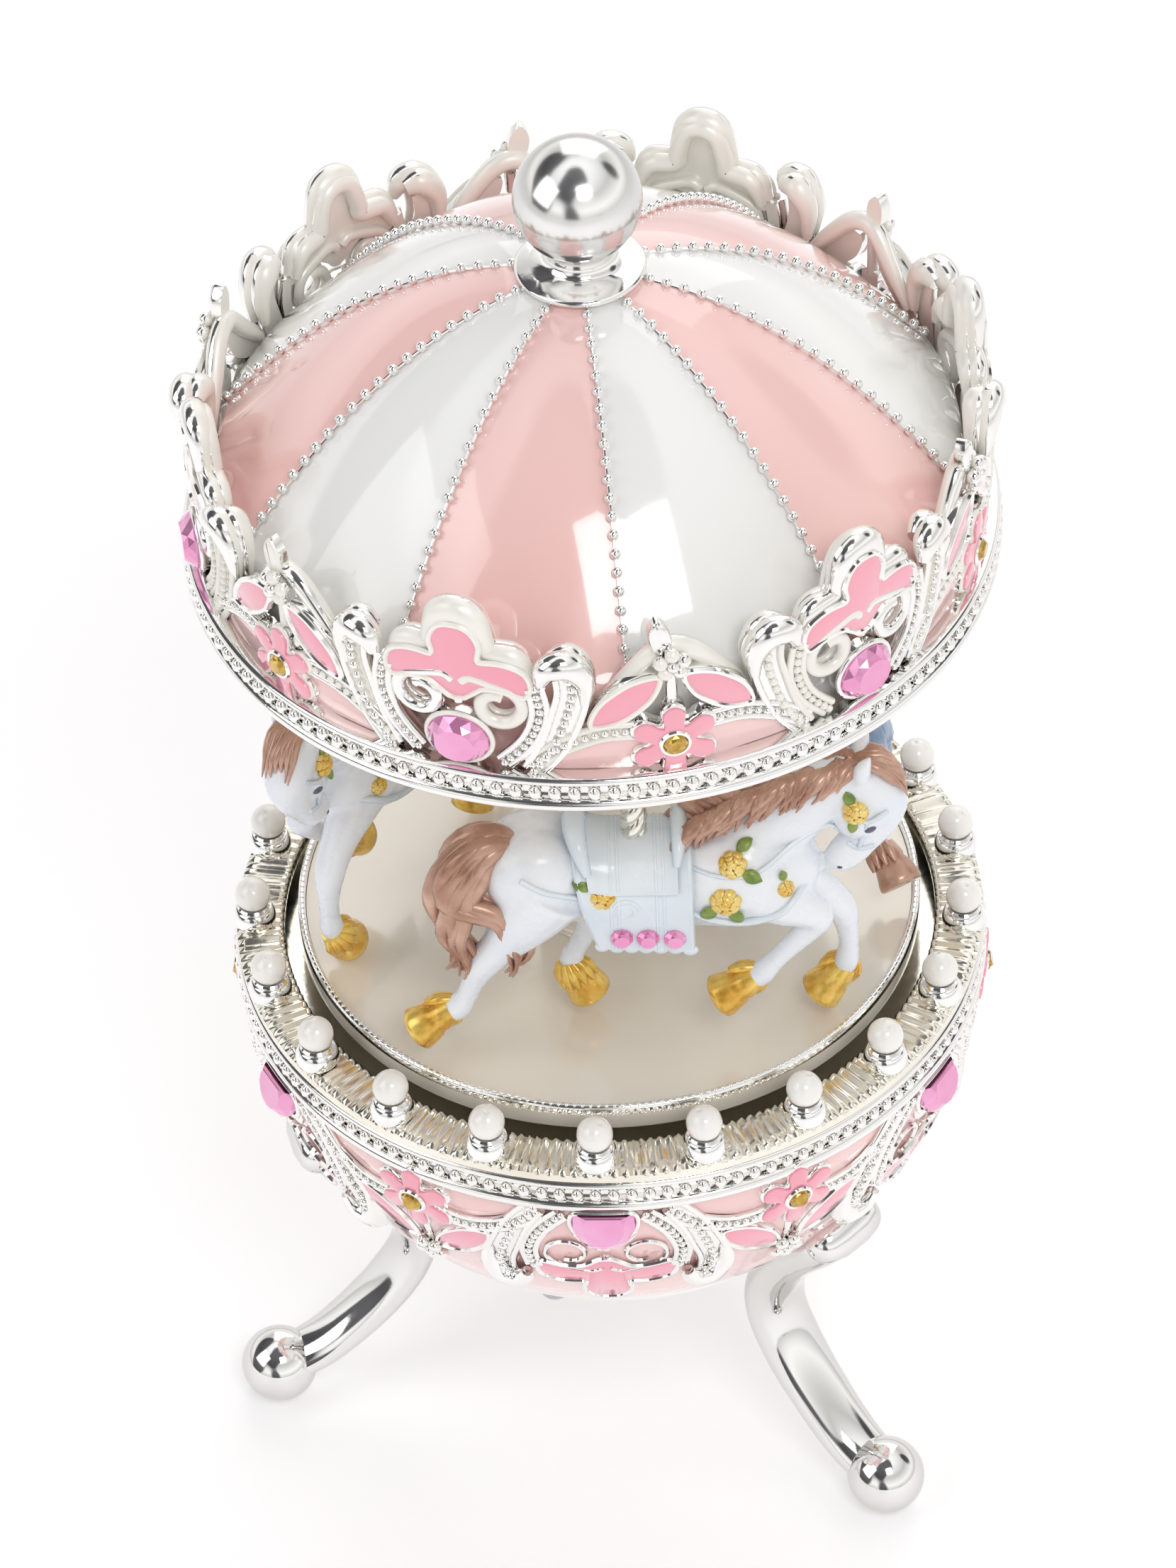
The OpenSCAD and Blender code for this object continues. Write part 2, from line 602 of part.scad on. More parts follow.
module canopy_amber_stones() {
  color(amber) difference() {
    round_stones(canopy_az + 30, 6, canopy_r, can_stone_z, 2.6, 2);
    translate([0, 0, can_z]) cylinder(r = canopy_r + 0.9, h = 20, $fn = 240);
  }
}
module finial_collar() {
  color(silver) difference() {
    rotate_extrude() polygon([[0, apex - 3.4], [3.4, apex - 3.4], [3.4, apex], [6.4, apex], [6.85, apex + 0.4],
      [6.6, apex + 0.9], [4, apex + 1.4], [3.3, apex + 2.2], [3.3, apex + 3], [4.2, apex + 4], [0, apex + 4]]);
    translate([0, 0, ball_z]) sphere(ball_r);
  }
}
module finial_ball() { color(silver) translate([0, 0, ball_z]) sphere(ball_r); }

// ---------- horses, facing +X at the origin, z = 0 is the floor
horse_hole = 27.4;
module pole(i) {
  color([0.85, 0.8, 0.68]) rotate([0, 0, horse_az + 120 * i]) translate([horse_ring_r, 0, floor_top + horse_hole])
    cylinder(r = pole_r, h = ceil_z + 1.2 - floor_top - horse_hole);
}
module pole_1() { pole(0); }
module pole_2() { pole(1); }
module pole_3() { pole(2); }
module seg(a, ra, b, rb, fn = 12) {
  hull() { translate(a) sphere(ra, $fn = fn); translate(b) sphere(rb, $fn = fn); }
}
module at_horse(i) {
  rotate([0, 0, horse_az + 120 * i]) translate([horse_ring_r, 0, floor_top]) rotate([0, 0, 90 - horse_turn])
    translate([0, 0, horse_hole * (1 - horse_k)]) scale(horse_k) children();
}
module horse_body() {
  seg([10, 0, 22.6], 7, [1, 0, 22], 5.8);
  seg([1, 0, 22], 5.8, [-9, 0, 23.6], 6.2);
  seg([13, 0, 25], 5, [18, 0, 31], 4);
  seg([9, 0, 25.4], 4.6, [18, 0, 32], 3.6);
  seg([18, 0, 31.6], 3.8, [24.6, 0, 35.4], 3.2);
  seg([25, 0, 34], 3.6, [22, 0, 25.6], 2.3);
  seg([25, 0, 34.6], 3, [26.8, 0, 32], 2.4);
  for (s = [-1, 1]) seg([24.8, s * 1.6, 37.4], 0.9, [26, s * 2, 40.4], 0.4);
}
module horse_legs() {
  seg([11, -3, 22], 3.6, [18.6, -3.6, 18.8], 2);
  seg([18.6, -3.6, 18.8], 1.9, [12.8, -3.6, 10.4], 1.2);
  seg([14, 2.2, 22], 3.6, [20.4, 1.8, 15.6], 1.9);
  seg([20.4, 1.8, 15.6], 1.8, [22.6, 1.4, 6.6], 1.2);
  seg([-10, -2.6, 22.4], 4.4, [-16, -3.4, 15], 2.2);
  seg([-16, -3.4, 15], 1.9, [-19.4, -3.4, 7.8], 1.3);
  seg([-9, 2.8, 21.4], 4, [-5.4, 3, 14.6], 2);
  seg([-5.4, 3, 14.6], 1.8, [-7.2, 3, 8.2], 1.2);
}
module hoof_set() {
  seg([12.2, -3.6, 9.8], 1.5, [8.9, -3.6, 8], 2, 8);
  seg([22.3, 1.4, 5.8], 1.5, [20.4, 1.4, 3.4], 2, 8);
  seg([-19.8, -3.4, 7.2], 1.6, [-23, -3.4, 5.6], 2.2, 8);
  seg([-7, 3, 7.4], 1.5, [-5.9, 3, 4.6], 2, 8);
}
module horse_solid() { horse_body(); horse_legs(); }
module pole_hole() { translate([0, 0, horse_hole]) cylinder(r = pole_r / horse_k, h = 20, $fn = 24); }
module horse(i) {
  color([0.93, 0.94, 0.97]) difference() {
    at_horse(i) difference() { horse_solid(); hoof_set(); }
    pole_room(i);
  }
}
module pole_room(i) {
  rotate([0, 0, horse_az + 120 * i]) translate([horse_ring_r, 0, floor_top + horse_hole]) cylinder(r = pole_r, h = 30, $fn = 32);
}
module horse_1() { horse(0); }
module horse_2() { horse(1); }
module horse_3() { horse(2); }
module mane_shape() {
  seg([6.4, -2, 29.8], 2, [11, -1.6, 32.6], 2.1);
  seg([11, -1.6, 32.6], 2.1, [16.5, -1, 35.6], 1.9);
  seg([16.5, -1, 35.6], 1.9, [22, 0, 38.6], 1.6);
  seg([22, 0, 38.6], 1.3, [27.4, 0, 37.4], 1);
}
module tail_shape() {
  seg([-12.6, 0, 28.4], 2, [-17, 0, 28.4], 2.8);
  seg([-17, 0, 28.4], 2.8, [-19.6, -0.6, 21], 2.6);
  seg([-19.6, -0.6, 21], 2.6, [-19.8, -1, 13.6], 2.2);
  seg([-15.6, -2, 26.4], 2.4, [-13.4, -4.6, 19.4], 2.4);
  seg([-13.4, -4.6, 19.4], 2.4, [-13.6, -4.8, 15], 1.9);
}
module mane_tail(i) {
  color([0.72, 0.5, 0.42]) at_horse(i) difference() {
    union() { mane_shape(); tail_shape(); }
    horse_solid();
  }
}
module mane_tail_1() { mane_tail(0); }
module mane_tail_2() { mane_tail(1); }
module mane_tail_3() { mane_tail(2); }
module saddle_shape() {
  intersection() {
    union() {
      seg([3.4, 0, 21.9], 6.7, [-4, 0, 22], 6.6);
      seg([-4.6, 0, 27.2], 2, [-5.8, 0, 30.4], 1.4);
    }
    translate([-8.4, -10, 17.2]) cube([14, 20, 16]);
  }
}
module saddles() {
  color([0.8, 0.87, 0.93]) for (i = [0:2]) difference() {
    at_horse(i) difference() { saddle_shape(); horse_solid(); mane_shape(); }
    pole_room(i);
  }
}
module saddle_stones() {
  color(stone_pink) for (i = [0:2]) at_horse(i) for (s = [-1, 1]) for (x = [-1.9, 1, 3.9])
    difference() {
      translate([x, s * 6.9, 19.9]) rotate([s * 90, 0, 0]) cylinder(r1 = 1.2, r2 = 1.3, h = 1.8, center = true, $fn = 20);
      saddle_shape();
      horse_solid();
    }
}
module hooves() { color([0.85, 0.65, 0.15]) for (i = [0:2]) at_horse(i) hoof_set(); }
module rose(p, r) { translate(p) sphere(r, $fn = 8); }
module rose_trim() {
  color([0.88, 0.75, 0.25]) for (i = [0:2]) at_horse(i) difference() {
    union() for (s = [-1, 1]) {
      rose([-3.8, s * 6.4, 24.8], 1.5);
      rose([10.2, s * 5.6, 28], 1.5);
      rose([9.6, s * 7, 24.4], 1.5);
      rose([23.4, s * 3.4, 33.4], 1.3);
    }
    saddle_shape();
    horse_solid();
    mane_shape();
  }
}

base_bowl();
bowl_bead_band();
bowl_gallery();
bowl_enamel();
bowl_pink_stones();
bowl_daisies();
bowl_amber_stones();
fluted_rim();
pearl_cups();
pearls();
leg_1();
leg_2();
leg_3();
leg_screws();
bottom_cover();
cover_screws();
deck_plate();
movement_bedplate();
cylinder_brackets();
comb_block();
tone_comb();
comb_screws();
turntable_floor();
floor_rim();
spindle();
spindle_gear();
centre_column();
canopy_ceiling();
canopy_dome();
dome_ribs();
canopy_bead_band();
canopy_gallery();
canopy_enamel();
canopy_pink_stones();
canopy_daisies();
canopy_amber_stones();
finial_collar();
finial_ball();
pole_1();
pole_2();
pole_3();
horse_1();
horse_2();
horse_3();
mane_tail_1();
mane_tail_2();
mane_tail_3();
saddles();
saddle_stones();
hooves();
rose_trim();
barrel_wheel();
mainspring();
music_cylinder();
governor_wheel();
governor_fan();
winding_key();
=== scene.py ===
import math
import random
import bmesh
import bpy
from mathutils import Matrix, Vector
from mathutils.bvhtree import BVHTree


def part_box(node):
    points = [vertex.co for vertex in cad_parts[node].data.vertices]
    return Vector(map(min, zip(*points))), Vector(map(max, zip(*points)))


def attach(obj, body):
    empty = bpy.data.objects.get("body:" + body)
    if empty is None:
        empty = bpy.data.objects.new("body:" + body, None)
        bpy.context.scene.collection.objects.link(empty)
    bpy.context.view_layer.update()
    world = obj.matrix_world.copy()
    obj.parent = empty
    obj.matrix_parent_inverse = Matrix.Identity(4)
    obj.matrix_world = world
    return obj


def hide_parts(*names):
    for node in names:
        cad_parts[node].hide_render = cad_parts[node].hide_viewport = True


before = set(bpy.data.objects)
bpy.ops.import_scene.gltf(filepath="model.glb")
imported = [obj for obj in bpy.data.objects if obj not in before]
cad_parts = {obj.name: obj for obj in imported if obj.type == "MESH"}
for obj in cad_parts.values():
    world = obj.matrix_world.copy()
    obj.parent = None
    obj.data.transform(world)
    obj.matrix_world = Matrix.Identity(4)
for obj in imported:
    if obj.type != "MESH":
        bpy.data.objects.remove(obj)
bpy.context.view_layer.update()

MM = 0.001
TURN = 2 * math.pi
UP = Vector((0, 0, 1))
chance = random.Random(11)


# ---------------------------------------------------------------- places taken from the frame
def top_of(node):
    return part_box(node)[1].z / MM


def foot_of(node):
    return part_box(node)[0].z / MM


def middle_of(node):
    low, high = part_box(node)
    return (low + high) / 2


def azimuth_of(node):
    m = middle_of(node)
    return math.atan2(m.y, m.x)


TABLE_Z = foot_of("leg_1")
RIM_TOP = top_of("fluted_rim")
RIM_R = (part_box("fluted_rim")[1].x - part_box("fluted_rim")[0].x) / 2 / MM
BOWL_TOP = foot_of("fluted_rim")
BOWL_FOOT = foot_of("base_bowl")
FLOOR_TOP = top_of("turntable_floor")
FLOOR_R = (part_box("turntable_floor")[1].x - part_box("turntable_floor")[0].x) / 2 / MM
COLUMN_R = (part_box("centre_column")[1].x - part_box("centre_column")[0].x) / 2 / MM - 0.8
CEILING_Z = foot_of("canopy_ceiling")
CANOPY_Z = foot_of("canopy_bead_band")
BAND_H = top_of("canopy_bead_band") - CANOPY_Z
CANOPY_R = (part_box("canopy_bead_band")[1].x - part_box("canopy_bead_band")[0].x) / 2 / MM - 0.7
DOME_TOP = top_of("canopy_dome")
DOME_R = (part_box("canopy_dome")[1].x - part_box("canopy_dome")[0].x) / 2 / MM
GALLERY_H = top_of("canopy_gallery") - CANOPY_Z
BALL_Z = middle_of("finial_ball").z / MM
BALL_R = (top_of("finial_ball") - foot_of("finial_ball")) / 2
PEARL_Z = middle_of("pearls").z / MM
PEARL_R = (top_of("pearls") - foot_of("pearls")) / 2
PEARL_RING_R = (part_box("pearls")[1].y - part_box("pearls")[0].y) / 2 / MM - PEARL_R
HORSE_AZ = [azimuth_of("pole_%d" % (i + 1)) for i in range(3)]
HORSE_RING_R = middle_of("pole_1").to_2d().length / MM
SADDLE_Z = foot_of("pole_1")
LEG_AZ = [math.radians(-167 + 120 * i) for i in range(3)]

PEARLS = 21
PEARL_AZ = math.radians(-93.9)
GORES = 10
RIB_AZ = math.radians(-85.8)
CANOPY_AZ = math.radians(-110)
BOWL_AZ = math.radians(-93)
MOTIFS = 6
BOWL_LIP_R = RIM_R - 0.8
BOWL_FOOT_R = 30.0
SKIRT_TOP = CANOPY_Z + 13


def bowl_radius(z):
    """The bowl's outer radius at a height, the same curve as its solid."""
    q = min(1.0, max(0.0, (BOWL_TOP - z) / (BOWL_TOP - BOWL_FOOT)))
    return BOWL_FOOT_R + (BOWL_LIP_R - BOWL_FOOT_R) * max(0.0, 1 - q ** 2.1) ** 0.72


def dome_height(r):
    return SKIRT_TOP + (DOME_TOP - SKIRT_TOP) * (1 - min(1.0, r / DOME_R) ** 2.2)


# ---------------------------------------------------------------- finishes
def finish(name, color, second=None, metallic=0.0, roughness=0.3, rough_spread=0.08, grain=400.0,
           relief=0.02, coat=0.0, specular=0.5, mix_scale=120.0, transmission=0.0, ior=1.5,
           subsurface=0.0, painted_edge_shade=None, edge_shade_power=0.4, glow=0.0):
    """A procedural finish: colour drifts between two tones, roughness and bump follow a fine noise; a given edge
    colour is painted shade towards the silhouette.
    """
    mat = bpy.data.materials.new(name)
    mat.use_nodes = True
    tree = mat.node_tree
    nodes, links = tree.nodes, tree.links
    shader = nodes["Principled BSDF"]
    shader.inputs["Metallic"].default_value = metallic
    shader.inputs["Coat Weight"].default_value = coat
    shader.inputs["Coat Roughness"].default_value = 0.04
    shader.inputs["Specular IOR Level"].default_value = specular
    shader.inputs["Transmission Weight"].default_value = transmission
    shader.inputs["IOR"].default_value = ior
    shader.inputs["Subsurface Weight"].default_value = subsurface
    shader.inputs["Subsurface Radius"].default_value = (0.004, 0.002, 0.0016)
    shader.inputs["Emission Color"].default_value = (1, 1, 1, 1)
    shader.inputs["Emission Strength"].default_value = glow
    place = nodes.new("ShaderNodeTexCoord")
    drift = nodes.new("ShaderNodeTexNoise")
    drift.inputs["Scale"].default_value = mix_scale
    drift.inputs["Detail"].default_value = 4.0
    links.new(place.outputs["Object"], drift.inputs["Vector"])
    tones = nodes.new("ShaderNodeValToRGB")
    tones.color_ramp.elements[0].position = 0.35
    tones.color_ramp.elements[1].position = 0.68
    tones.color_ramp.elements[0].color = (*color, 1)
    tones.color_ramp.elements[1].color = (*(second or color), 1)
    links.new(drift.outputs["Fac"], tones.inputs["Fac"])
    base = tones.outputs["Color"]
    # Painted edge shade: the colour turns to the given edge colour where the surface turns away from view.
    if painted_edge_shade:
        edge = nodes.new("ShaderNodeLayerWeight")
        edge.inputs["Blend"].default_value = edge_shade_power
        blend = nodes.new("ShaderNodeMix")
        blend.data_type = "RGBA"
        blend.inputs["B"].default_value = (*painted_edge_shade, 1)
        links.new(edge.outputs["Facing"], blend.inputs["Factor"])
        links.new(base, blend.inputs["A"])
        base = blend.outputs["Result"]
    links.new(base, shader.inputs["Base Color"])
    fine = nodes.new("ShaderNodeTexNoise")
    fine.inputs["Scale"].default_value = grain
    fine.inputs["Detail"].default_value = 3.0
    links.new(place.outputs["Object"], fine.inputs["Vector"])
    spread = nodes.new("ShaderNodeMapRange")
    spread.inputs["From Min"].default_value = 0.3
    spread.inputs["From Max"].default_value = 0.7
    spread.inputs["To Min"].default_value = max(0.01, roughness - rough_spread / 2)
    spread.inputs["To Max"].default_value = roughness + rough_spread / 2
    links.new(fine.outputs["Fac"], spread.inputs["Value"])
    links.new(spread.outputs["Result"], shader.inputs["Roughness"])
    bump = nodes.new("ShaderNodeBump")
    bump.inputs["Strength"].default_value = 1.0
    bump.inputs["Distance"].default_value = relief * MM
    links.new(fine.outputs["Fac"], bump.inputs["Height"])
    links.new(bump.outputs["Normal"], shader.inputs["Normal"])
    return mat


silver = finish("silver_plate", (0.93, 0.925, 0.91), (0.90, 0.89, 0.86), metallic=1.0, roughness=0.09,
                rough_spread=0.06, grain=900, relief=0.012, mix_scale=60)
bright_silver = finish("bright_silver", (0.94, 0.94, 0.93), (0.91, 0.91, 0.90), metallic=1.0,
                       roughness=0.05, rough_spread=0.04, grain=500, relief=0.006, mix_scale=40)
warm_silver = finish("champagne_silver", (0.93, 0.90, 0.82), (0.86, 0.81, 0.70), metallic=1.0,
                     roughness=0.16, rough_spread=0.1, grain=900, relief=0.02, mix_scale=90)
pale_enamel = finish("pale_pink_enamel", (0.95, 0.62, 0.60), (0.96, 0.67, 0.65), roughness=0.12,
                     rough_spread=0.05, grain=260, relief=0.02, coat=1.0, mix_scale=50)
rose_enamel = finish("rose_enamel", (0.96, 0.36, 0.46), (0.97, 0.41, 0.50), roughness=0.14,
                     rough_spread=0.05, grain=260, relief=0.02, coat=1.0, mix_scale=50)
dome_pink = finish("dome_pink_enamel", (0.98, 0.62, 0.59), (0.98, 0.66, 0.63), roughness=0.1,
                   rough_spread=0.04, grain=120, relief=0.05, coat=1.0, mix_scale=35)
dome_white = finish("dome_white_enamel", (0.95, 0.945, 0.93), (0.92, 0.92, 0.90), roughness=0.1,
                    rough_spread=0.04, grain=120, relief=0.05, coat=1.0, mix_scale=35)
# The pearls' warm, darker edge colour is painted edge shade.
pearl_white = finish("pearl_lustre", (0.97, 0.95, 0.91), (0.98, 0.97, 0.94), roughness=0.14,
                     rough_spread=0.05, grain=700, relief=0.003, coat=1.0, mix_scale=200,
                     painted_edge_shade=(0.94, 0.86, 0.78), edge_shade_power=0.25, subsurface=0.1)
cream_mirror = finish("cream_lacquer", (0.84, 0.78, 0.68), (0.87, 0.82, 0.73), metallic=0.1,
                      roughness=0.18, rough_spread=0.05, grain=300, relief=0.006, coat=0.8, mix_scale=25)
satin_back = finish("satin_cream_silver", (0.96, 0.94, 0.88), (0.91, 0.88, 0.81), metallic=0.2,
                    roughness=0.38, rough_spread=0.12, grain=800, relief=0.02, mix_scale=90)
# The legs' darker edge colour is painted shade on the polished silver.
leg_silver = finish("polished_leg_silver", (0.92, 0.92, 0.91), (0.88, 0.88, 0.87), metallic=1.0,
                    roughness=0.07, rough_spread=0.04, grain=500, relief=0.006, mix_scale=40,
                    painted_edge_shade=(0.54, 0.53, 0.51), edge_shade_power=0.42)
# The ball's darker edge colour is painted shade on the satin silver.
satin_ball = finish("satin_silver_ball", (0.93, 0.93, 0.92), (0.90, 0.90, 0.89), metallic=1.0,
                    roughness=0.16, rough_spread=0.04, grain=700, relief=0.004, mix_scale=40,
                    painted_edge_shade=(0.55, 0.54, 0.52), edge_shade_power=0.4)
pink_gem = finish("pink_rhinestone", (0.85, 0.30, 0.56), (0.93, 0.46, 0.72), metallic=0.5, roughness=0.07,
                  rough_spread=0.03, grain=600, relief=0.0, coat=1.0, mix_scale=120)
amber_gem = finish("amber_rhinestone", (0.38, 0.20, 0.01), (0.75, 0.48, 0.05), metallic=0.55,
                   roughness=0.08, rough_spread=0.03, grain=600, relief=0.0, coat=1.0, mix_scale=1100)
# The horses' blue-grey edge colour is painted shade.
horse_paint = finish("pearl_white_paint", (0.86, 0.89, 0.93), (0.92, 0.93, 0.95), roughness=0.26,
                     rough_spread=0.12, grain=500, relief=0.03, coat=0.35, mix_scale=90,
                     painted_edge_shade=(0.68, 0.75, 0.87), edge_shade_power=0.25, subsurface=0.05)
# The saddles' darker blue edge colour is painted shade.
saddle_paint = finish("ice_blue_paint", (0.76, 0.83, 0.89), (0.86, 0.91, 0.94), roughness=0.24,
                      rough_spread=0.1, grain=500, relief=0.03, coat=0.5, mix_scale=150,
                      painted_edge_shade=(0.42, 0.54, 0.66), edge_shade_power=0.3)
bronze_paint = finish("rose_bronze_paint", (0.42, 0.22, 0.15), (0.66, 0.42, 0.32), metallic=0.45,
                      roughness=0.3, rough_spread=0.12, grain=600, relief=0.03, coat=0.3, mix_scale=260)
blue_paint = finish("steel_blue_paint", (0.20, 0.27, 0.40), (0.46, 0.56, 0.70), metallic=0.4,
                    roughness=0.3, rough_spread=0.12, grain=600, relief=0.03, coat=0.3, mix_scale=260)
gold_paint = finish("gold_paint", (0.72, 0.38, 0.04), (0.95, 0.68, 0.16), metallic=0.5, roughness=0.28,
                    rough_spread=0.12, grain=600, relief=0.04, coat=0.4, mix_scale=420)
rose_paint = finish("yellow_rose_paint", (0.80, 0.50, 0.08), (0.95, 0.78, 0.30), metallic=0.3,
                    roughness=0.32, rough_spread=0.1, grain=600, relief=0.03, coat=0.3, mix_scale=600)
leaf_paint = finish("leaf_green_paint", (0.12, 0.20, 0.03), (0.30, 0.40, 0.08), metallic=0.1,
                    roughness=0.35, rough_spread=0.1, grain=600, relief=0.04, coat=0.3, mix_scale=600)
dark_paint = finish("dark_paint", (0.05, 0.06, 0.09), (0.10, 0.11, 0.15), roughness=0.3, coat=0.5)
brass = finish("turned_brass", (0.72, 0.52, 0.20), (0.80, 0.62, 0.30), metallic=1.0, roughness=0.22,
               rough_spread=0.1, grain=900, relief=0.02, mix_scale=150)
steel = finish("ground_steel", (0.50, 0.50, 0.52), (0.62, 0.62, 0.64), metallic=1.0, roughness=0.28,
               rough_spread=0.12, grain=1100, relief=0.02, mix_scale=200)


# ---------------------------------------------------------------- making and placing pieces
def smooth_mesh(mesh, sharp=40):
    mesh.polygons.foreach_set("use_smooth", [True] * len(mesh.polygons))
    mesh.set_sharp_from_angle(angle=math.radians(sharp))
    mesh.update()


def add_piece(bm, name, body, finishes, stands_for=(), sharp=40):
    """Turns a bmesh drawn in millimetres into a finished piece on a body."""
    bmesh.ops.scale(bm, vec=(MM, MM, MM), verts=bm.verts)
    mesh = bpy.data.meshes.new(name)
    bm.to_mesh(mesh)
    bm.free()
    for mat in (finishes if isinstance(finishes, (list, tuple)) else [finishes]):
        mesh.materials.append(mat)
    smooth_mesh(mesh, sharp)
    piece = bpy.data.objects.new(name, mesh)
    bpy.context.scene.collection.objects.link(piece)
    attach(piece, body)
    if stands_for:
        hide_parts(*stands_for)
    return piece


def stamp(bm, source, where, material=None):
    """Adds a copy of a mesh at a place."""
    copy = source.copy()
    copy.transform(where)
    if material is not None:
        copy.polygons.foreach_set("material_index", [material] * len(copy.polygons))
    bm.from_mesh(copy)
    bpy.data.meshes.remove(copy)


def as_mesh(bm, name="part"):
    mesh = bpy.data.meshes.new(name)
    bm.to_mesh(mesh)
    bm.free()
    return mesh


def arc(cx, cy, r, start, end, count=6):
    """Points on an arc, angles in degrees."""
    return [(cx + r * math.cos(math.radians(start + (end - start) * i / count)),
             cy + r * math.sin(math.radians(start + (end - start) * i / count)))
            for i in range(count + 1)]


def turned(outline, steps=144, closed=False, start=0.0):
    """Spins an outline of (radius, height) points into a turned piece."""
    bm = bmesh.new()
    points = [bm.verts.new((r * math.cos(start), r * math.sin(start), z)) for r, z in outline]
    edges = [bm.edges.new(pair) for pair in zip(points, points[1:])]
    if closed:
        edges.append(bm.edges.new((points[-1], points[0])))
    bmesh.ops.spin(bm, geom=points + edges, cent=(0, 0, 0), axis=UP, angle=TURN, steps=steps,
                   use_merge=True)
    bmesh.ops.remove_doubles(bm, verts=bm.verts, dist=1e-4)
    bmesh.ops.recalc_face_normals(bm, faces=bm.faces)
    return bm


def finer(points, radii, count, loop):
    """More points along a smooth line through the given ones, each with its radius."""
    n, out = len(points), []
    for i in range(n if loop else n - 1):
        if loop:
            knots = [(i + k) % n for k in (-1, 0, 1, 2)]
        else:
            knots = [min(n - 1, max(0, i + k)) for k in (-1, 0, 1, 2)]
        a, b, c, d = (Vector((*points[k], radii[k])) for k in knots)
        for k in range(count):
            t = k / count
            out.append(0.5 * (2 * b + (c - a) * t + (2 * a - 5 * b + 4 * c - d) * t * t
                              + (3 * b - a - 3 * c + d) * t ** 3))
    if not loop:
        out.append(Vector((*points[-1], radii[-1])))
    return out


def rod(points, radii, sides=3, smoothness=5, loop=False):
    """A round rod along a smooth line, its radius following the given radii."""
    if not isinstance(radii, (list, tuple)):
        radii = [radii] * len(points)
    points = [tuple(p) if len(p) == 3 else (*p, 0.0) for p in points]
    knots = finer(points, radii, smoothness, loop)
    line = bpy.data.curves.new("rod", "CURVE")
    line.dimensions = "3D"
    line.bevel_depth = 1.0
    line.bevel_resolution = sides
    line.use_fill_caps = True
    spline = line.splines.new("POLY")
    spline.points.add(len(knots) - 1)
    for knot, place in zip(spline.points, knots):
        knot.co = (*place[:3], 1)
        knot.radius = max(place[3], 0.01)
    spline.use_cyclic_u = loop
    holder = bpy.data.objects.new("rod", line)
    mesh = bpy.data.meshes.new_from_object(holder)
    bpy.data.objects.remove(holder)
    bpy.data.curves.remove(line)
    return mesh


def add_rod(bm, points, radii, sides=3, smoothness=5, loop=False, material=None):
    mesh = rod(points, radii, sides, smoothness, loop)
    stamp(bm, mesh, Matrix.Identity(4), material)
    bpy.data.meshes.remove(mesh)


def ball_mesh(radius, rings=6, segments=10):
    bm = bmesh.new()
    bmesh.ops.create_uvsphere(bm, u_segments=segments, v_segments=rings, radius=radius)
    return as_mesh(bm, "bead")


BEAD = ball_mesh(1.0, 6, 9)
ROUND = ball_mesh(1.0, 16, 24)


def add_ball(bm, where, radius, source=None, squash=(1, 1, 1), material=None, turn=None):
    place = Matrix.Translation(Vector(where)) @ (turn or Matrix.Identity(4)) \
        @ Matrix.Diagonal((radius * squash[0], radius * squash[1], radius * squash[2], 1))
    stamp(bm, source or BEAD, place, material)


def plate(outline, depth, lift=0.0, edge=0.25, strip=1.6, material=None):
    """A flat plate with a rounded front edge, cut into strips so that it can bend round a wall."""
    bm = bmesh.new()
    face = bm.faces.new([bm.verts.new((x, y, lift)) for x, y in outline])
    if face.normal.z < 0:
        bmesh.ops.reverse_faces(bm, faces=[face])
    bm.normal_update()
    if face.normal.z < 0:
        face.normal_flip()
    front = bmesh.ops.extrude_face_region(bm, geom=[face])
    raised = [v for v in front["geom"] if isinstance(v, bmesh.types.BMVert)]
    bmesh.ops.translate(bm, vec=(0, 0, depth), verts=raised)
    if edge:
        tops = [e for e in bm.edges if all(v.co.z > lift + depth - 1e-5 for v in e.verts)]
        bmesh.ops.bevel(bm, geom=tops, offset=edge, affect="EDGES", segments=2, profile=0.5, material=-1)
    xs = [v.co.x for v in bm.verts]
    cut = math.ceil(min(xs) / strip) * strip
    while cut < max(xs):
        bmesh.ops.bisect_plane(bm, geom=bm.verts[:] + bm.edges[:] + bm.faces[:], dist=1e-5,
                               plane_co=(cut, 0, 0), plane_no=(1, 0, 0))
        cut += strip
    bmesh.ops.recalc_face_normals(bm, faces=bm.faces)
    if material is not None:
        for f in bm.faces:
            f.material_index = material
    return as_mesh(bm, "plate")


def smooth_outline(points, count=5):
    """A closed smooth line through points, as a Catmull-Rom curve."""
    n, out = len(points), []
    for i in range(n):
        a, b, c, d = (Vector(points[(i + k) % n]) for k in (-1, 0, 1, 2))
        for k in range(count):
            t = k / count
            out.append(0.5 * (2 * b + (c - a) * t + (2 * a - 5 * b + 4 * c - d) * t * t
                              + (3 * b - a - 3 * c + d) * t ** 3))
    return [(p.x, p.y) for p in out]


def along(points, step):
    """Evenly spaced points along an open smooth line through points."""
    padded = [Vector(points[0])] + [Vector(p) for p in points] + [Vector(points[-1])]
    fine = []
    for a, b, c, d in zip(padded, padded[1:], padded[2:], padded[3:]):
        for k in range(16):
            t = k / 16
            fine.append(0.5 * (2 * b + (c - a) * t + (2 * a - 5 * b + 4 * c - d) * t * t
                               + (3 * b - a - 3 * c + d) * t ** 3))
    fine.append(padded[-1])
    out, travelled = [fine[0]], 0.0
    for a, b in zip(fine, fine[1:]):
        travelled += (b - a).length
        if travelled >= step:
            out.append(b)
            travelled = 0.0
    return out


# ---------------------------------------------------------------- base: bowl, rim, pearls
def bead_row(bm, radius, height, count, size, material=None, squash=(1, 1, 1)):
    for i in range(count):
        a = TURN * i / count
        add_ball(bm, (radius * math.cos(a), radius * math.sin(a), height), size, BEAD, squash, material,
                 Matrix.Rotation(a, 4, "Z"))


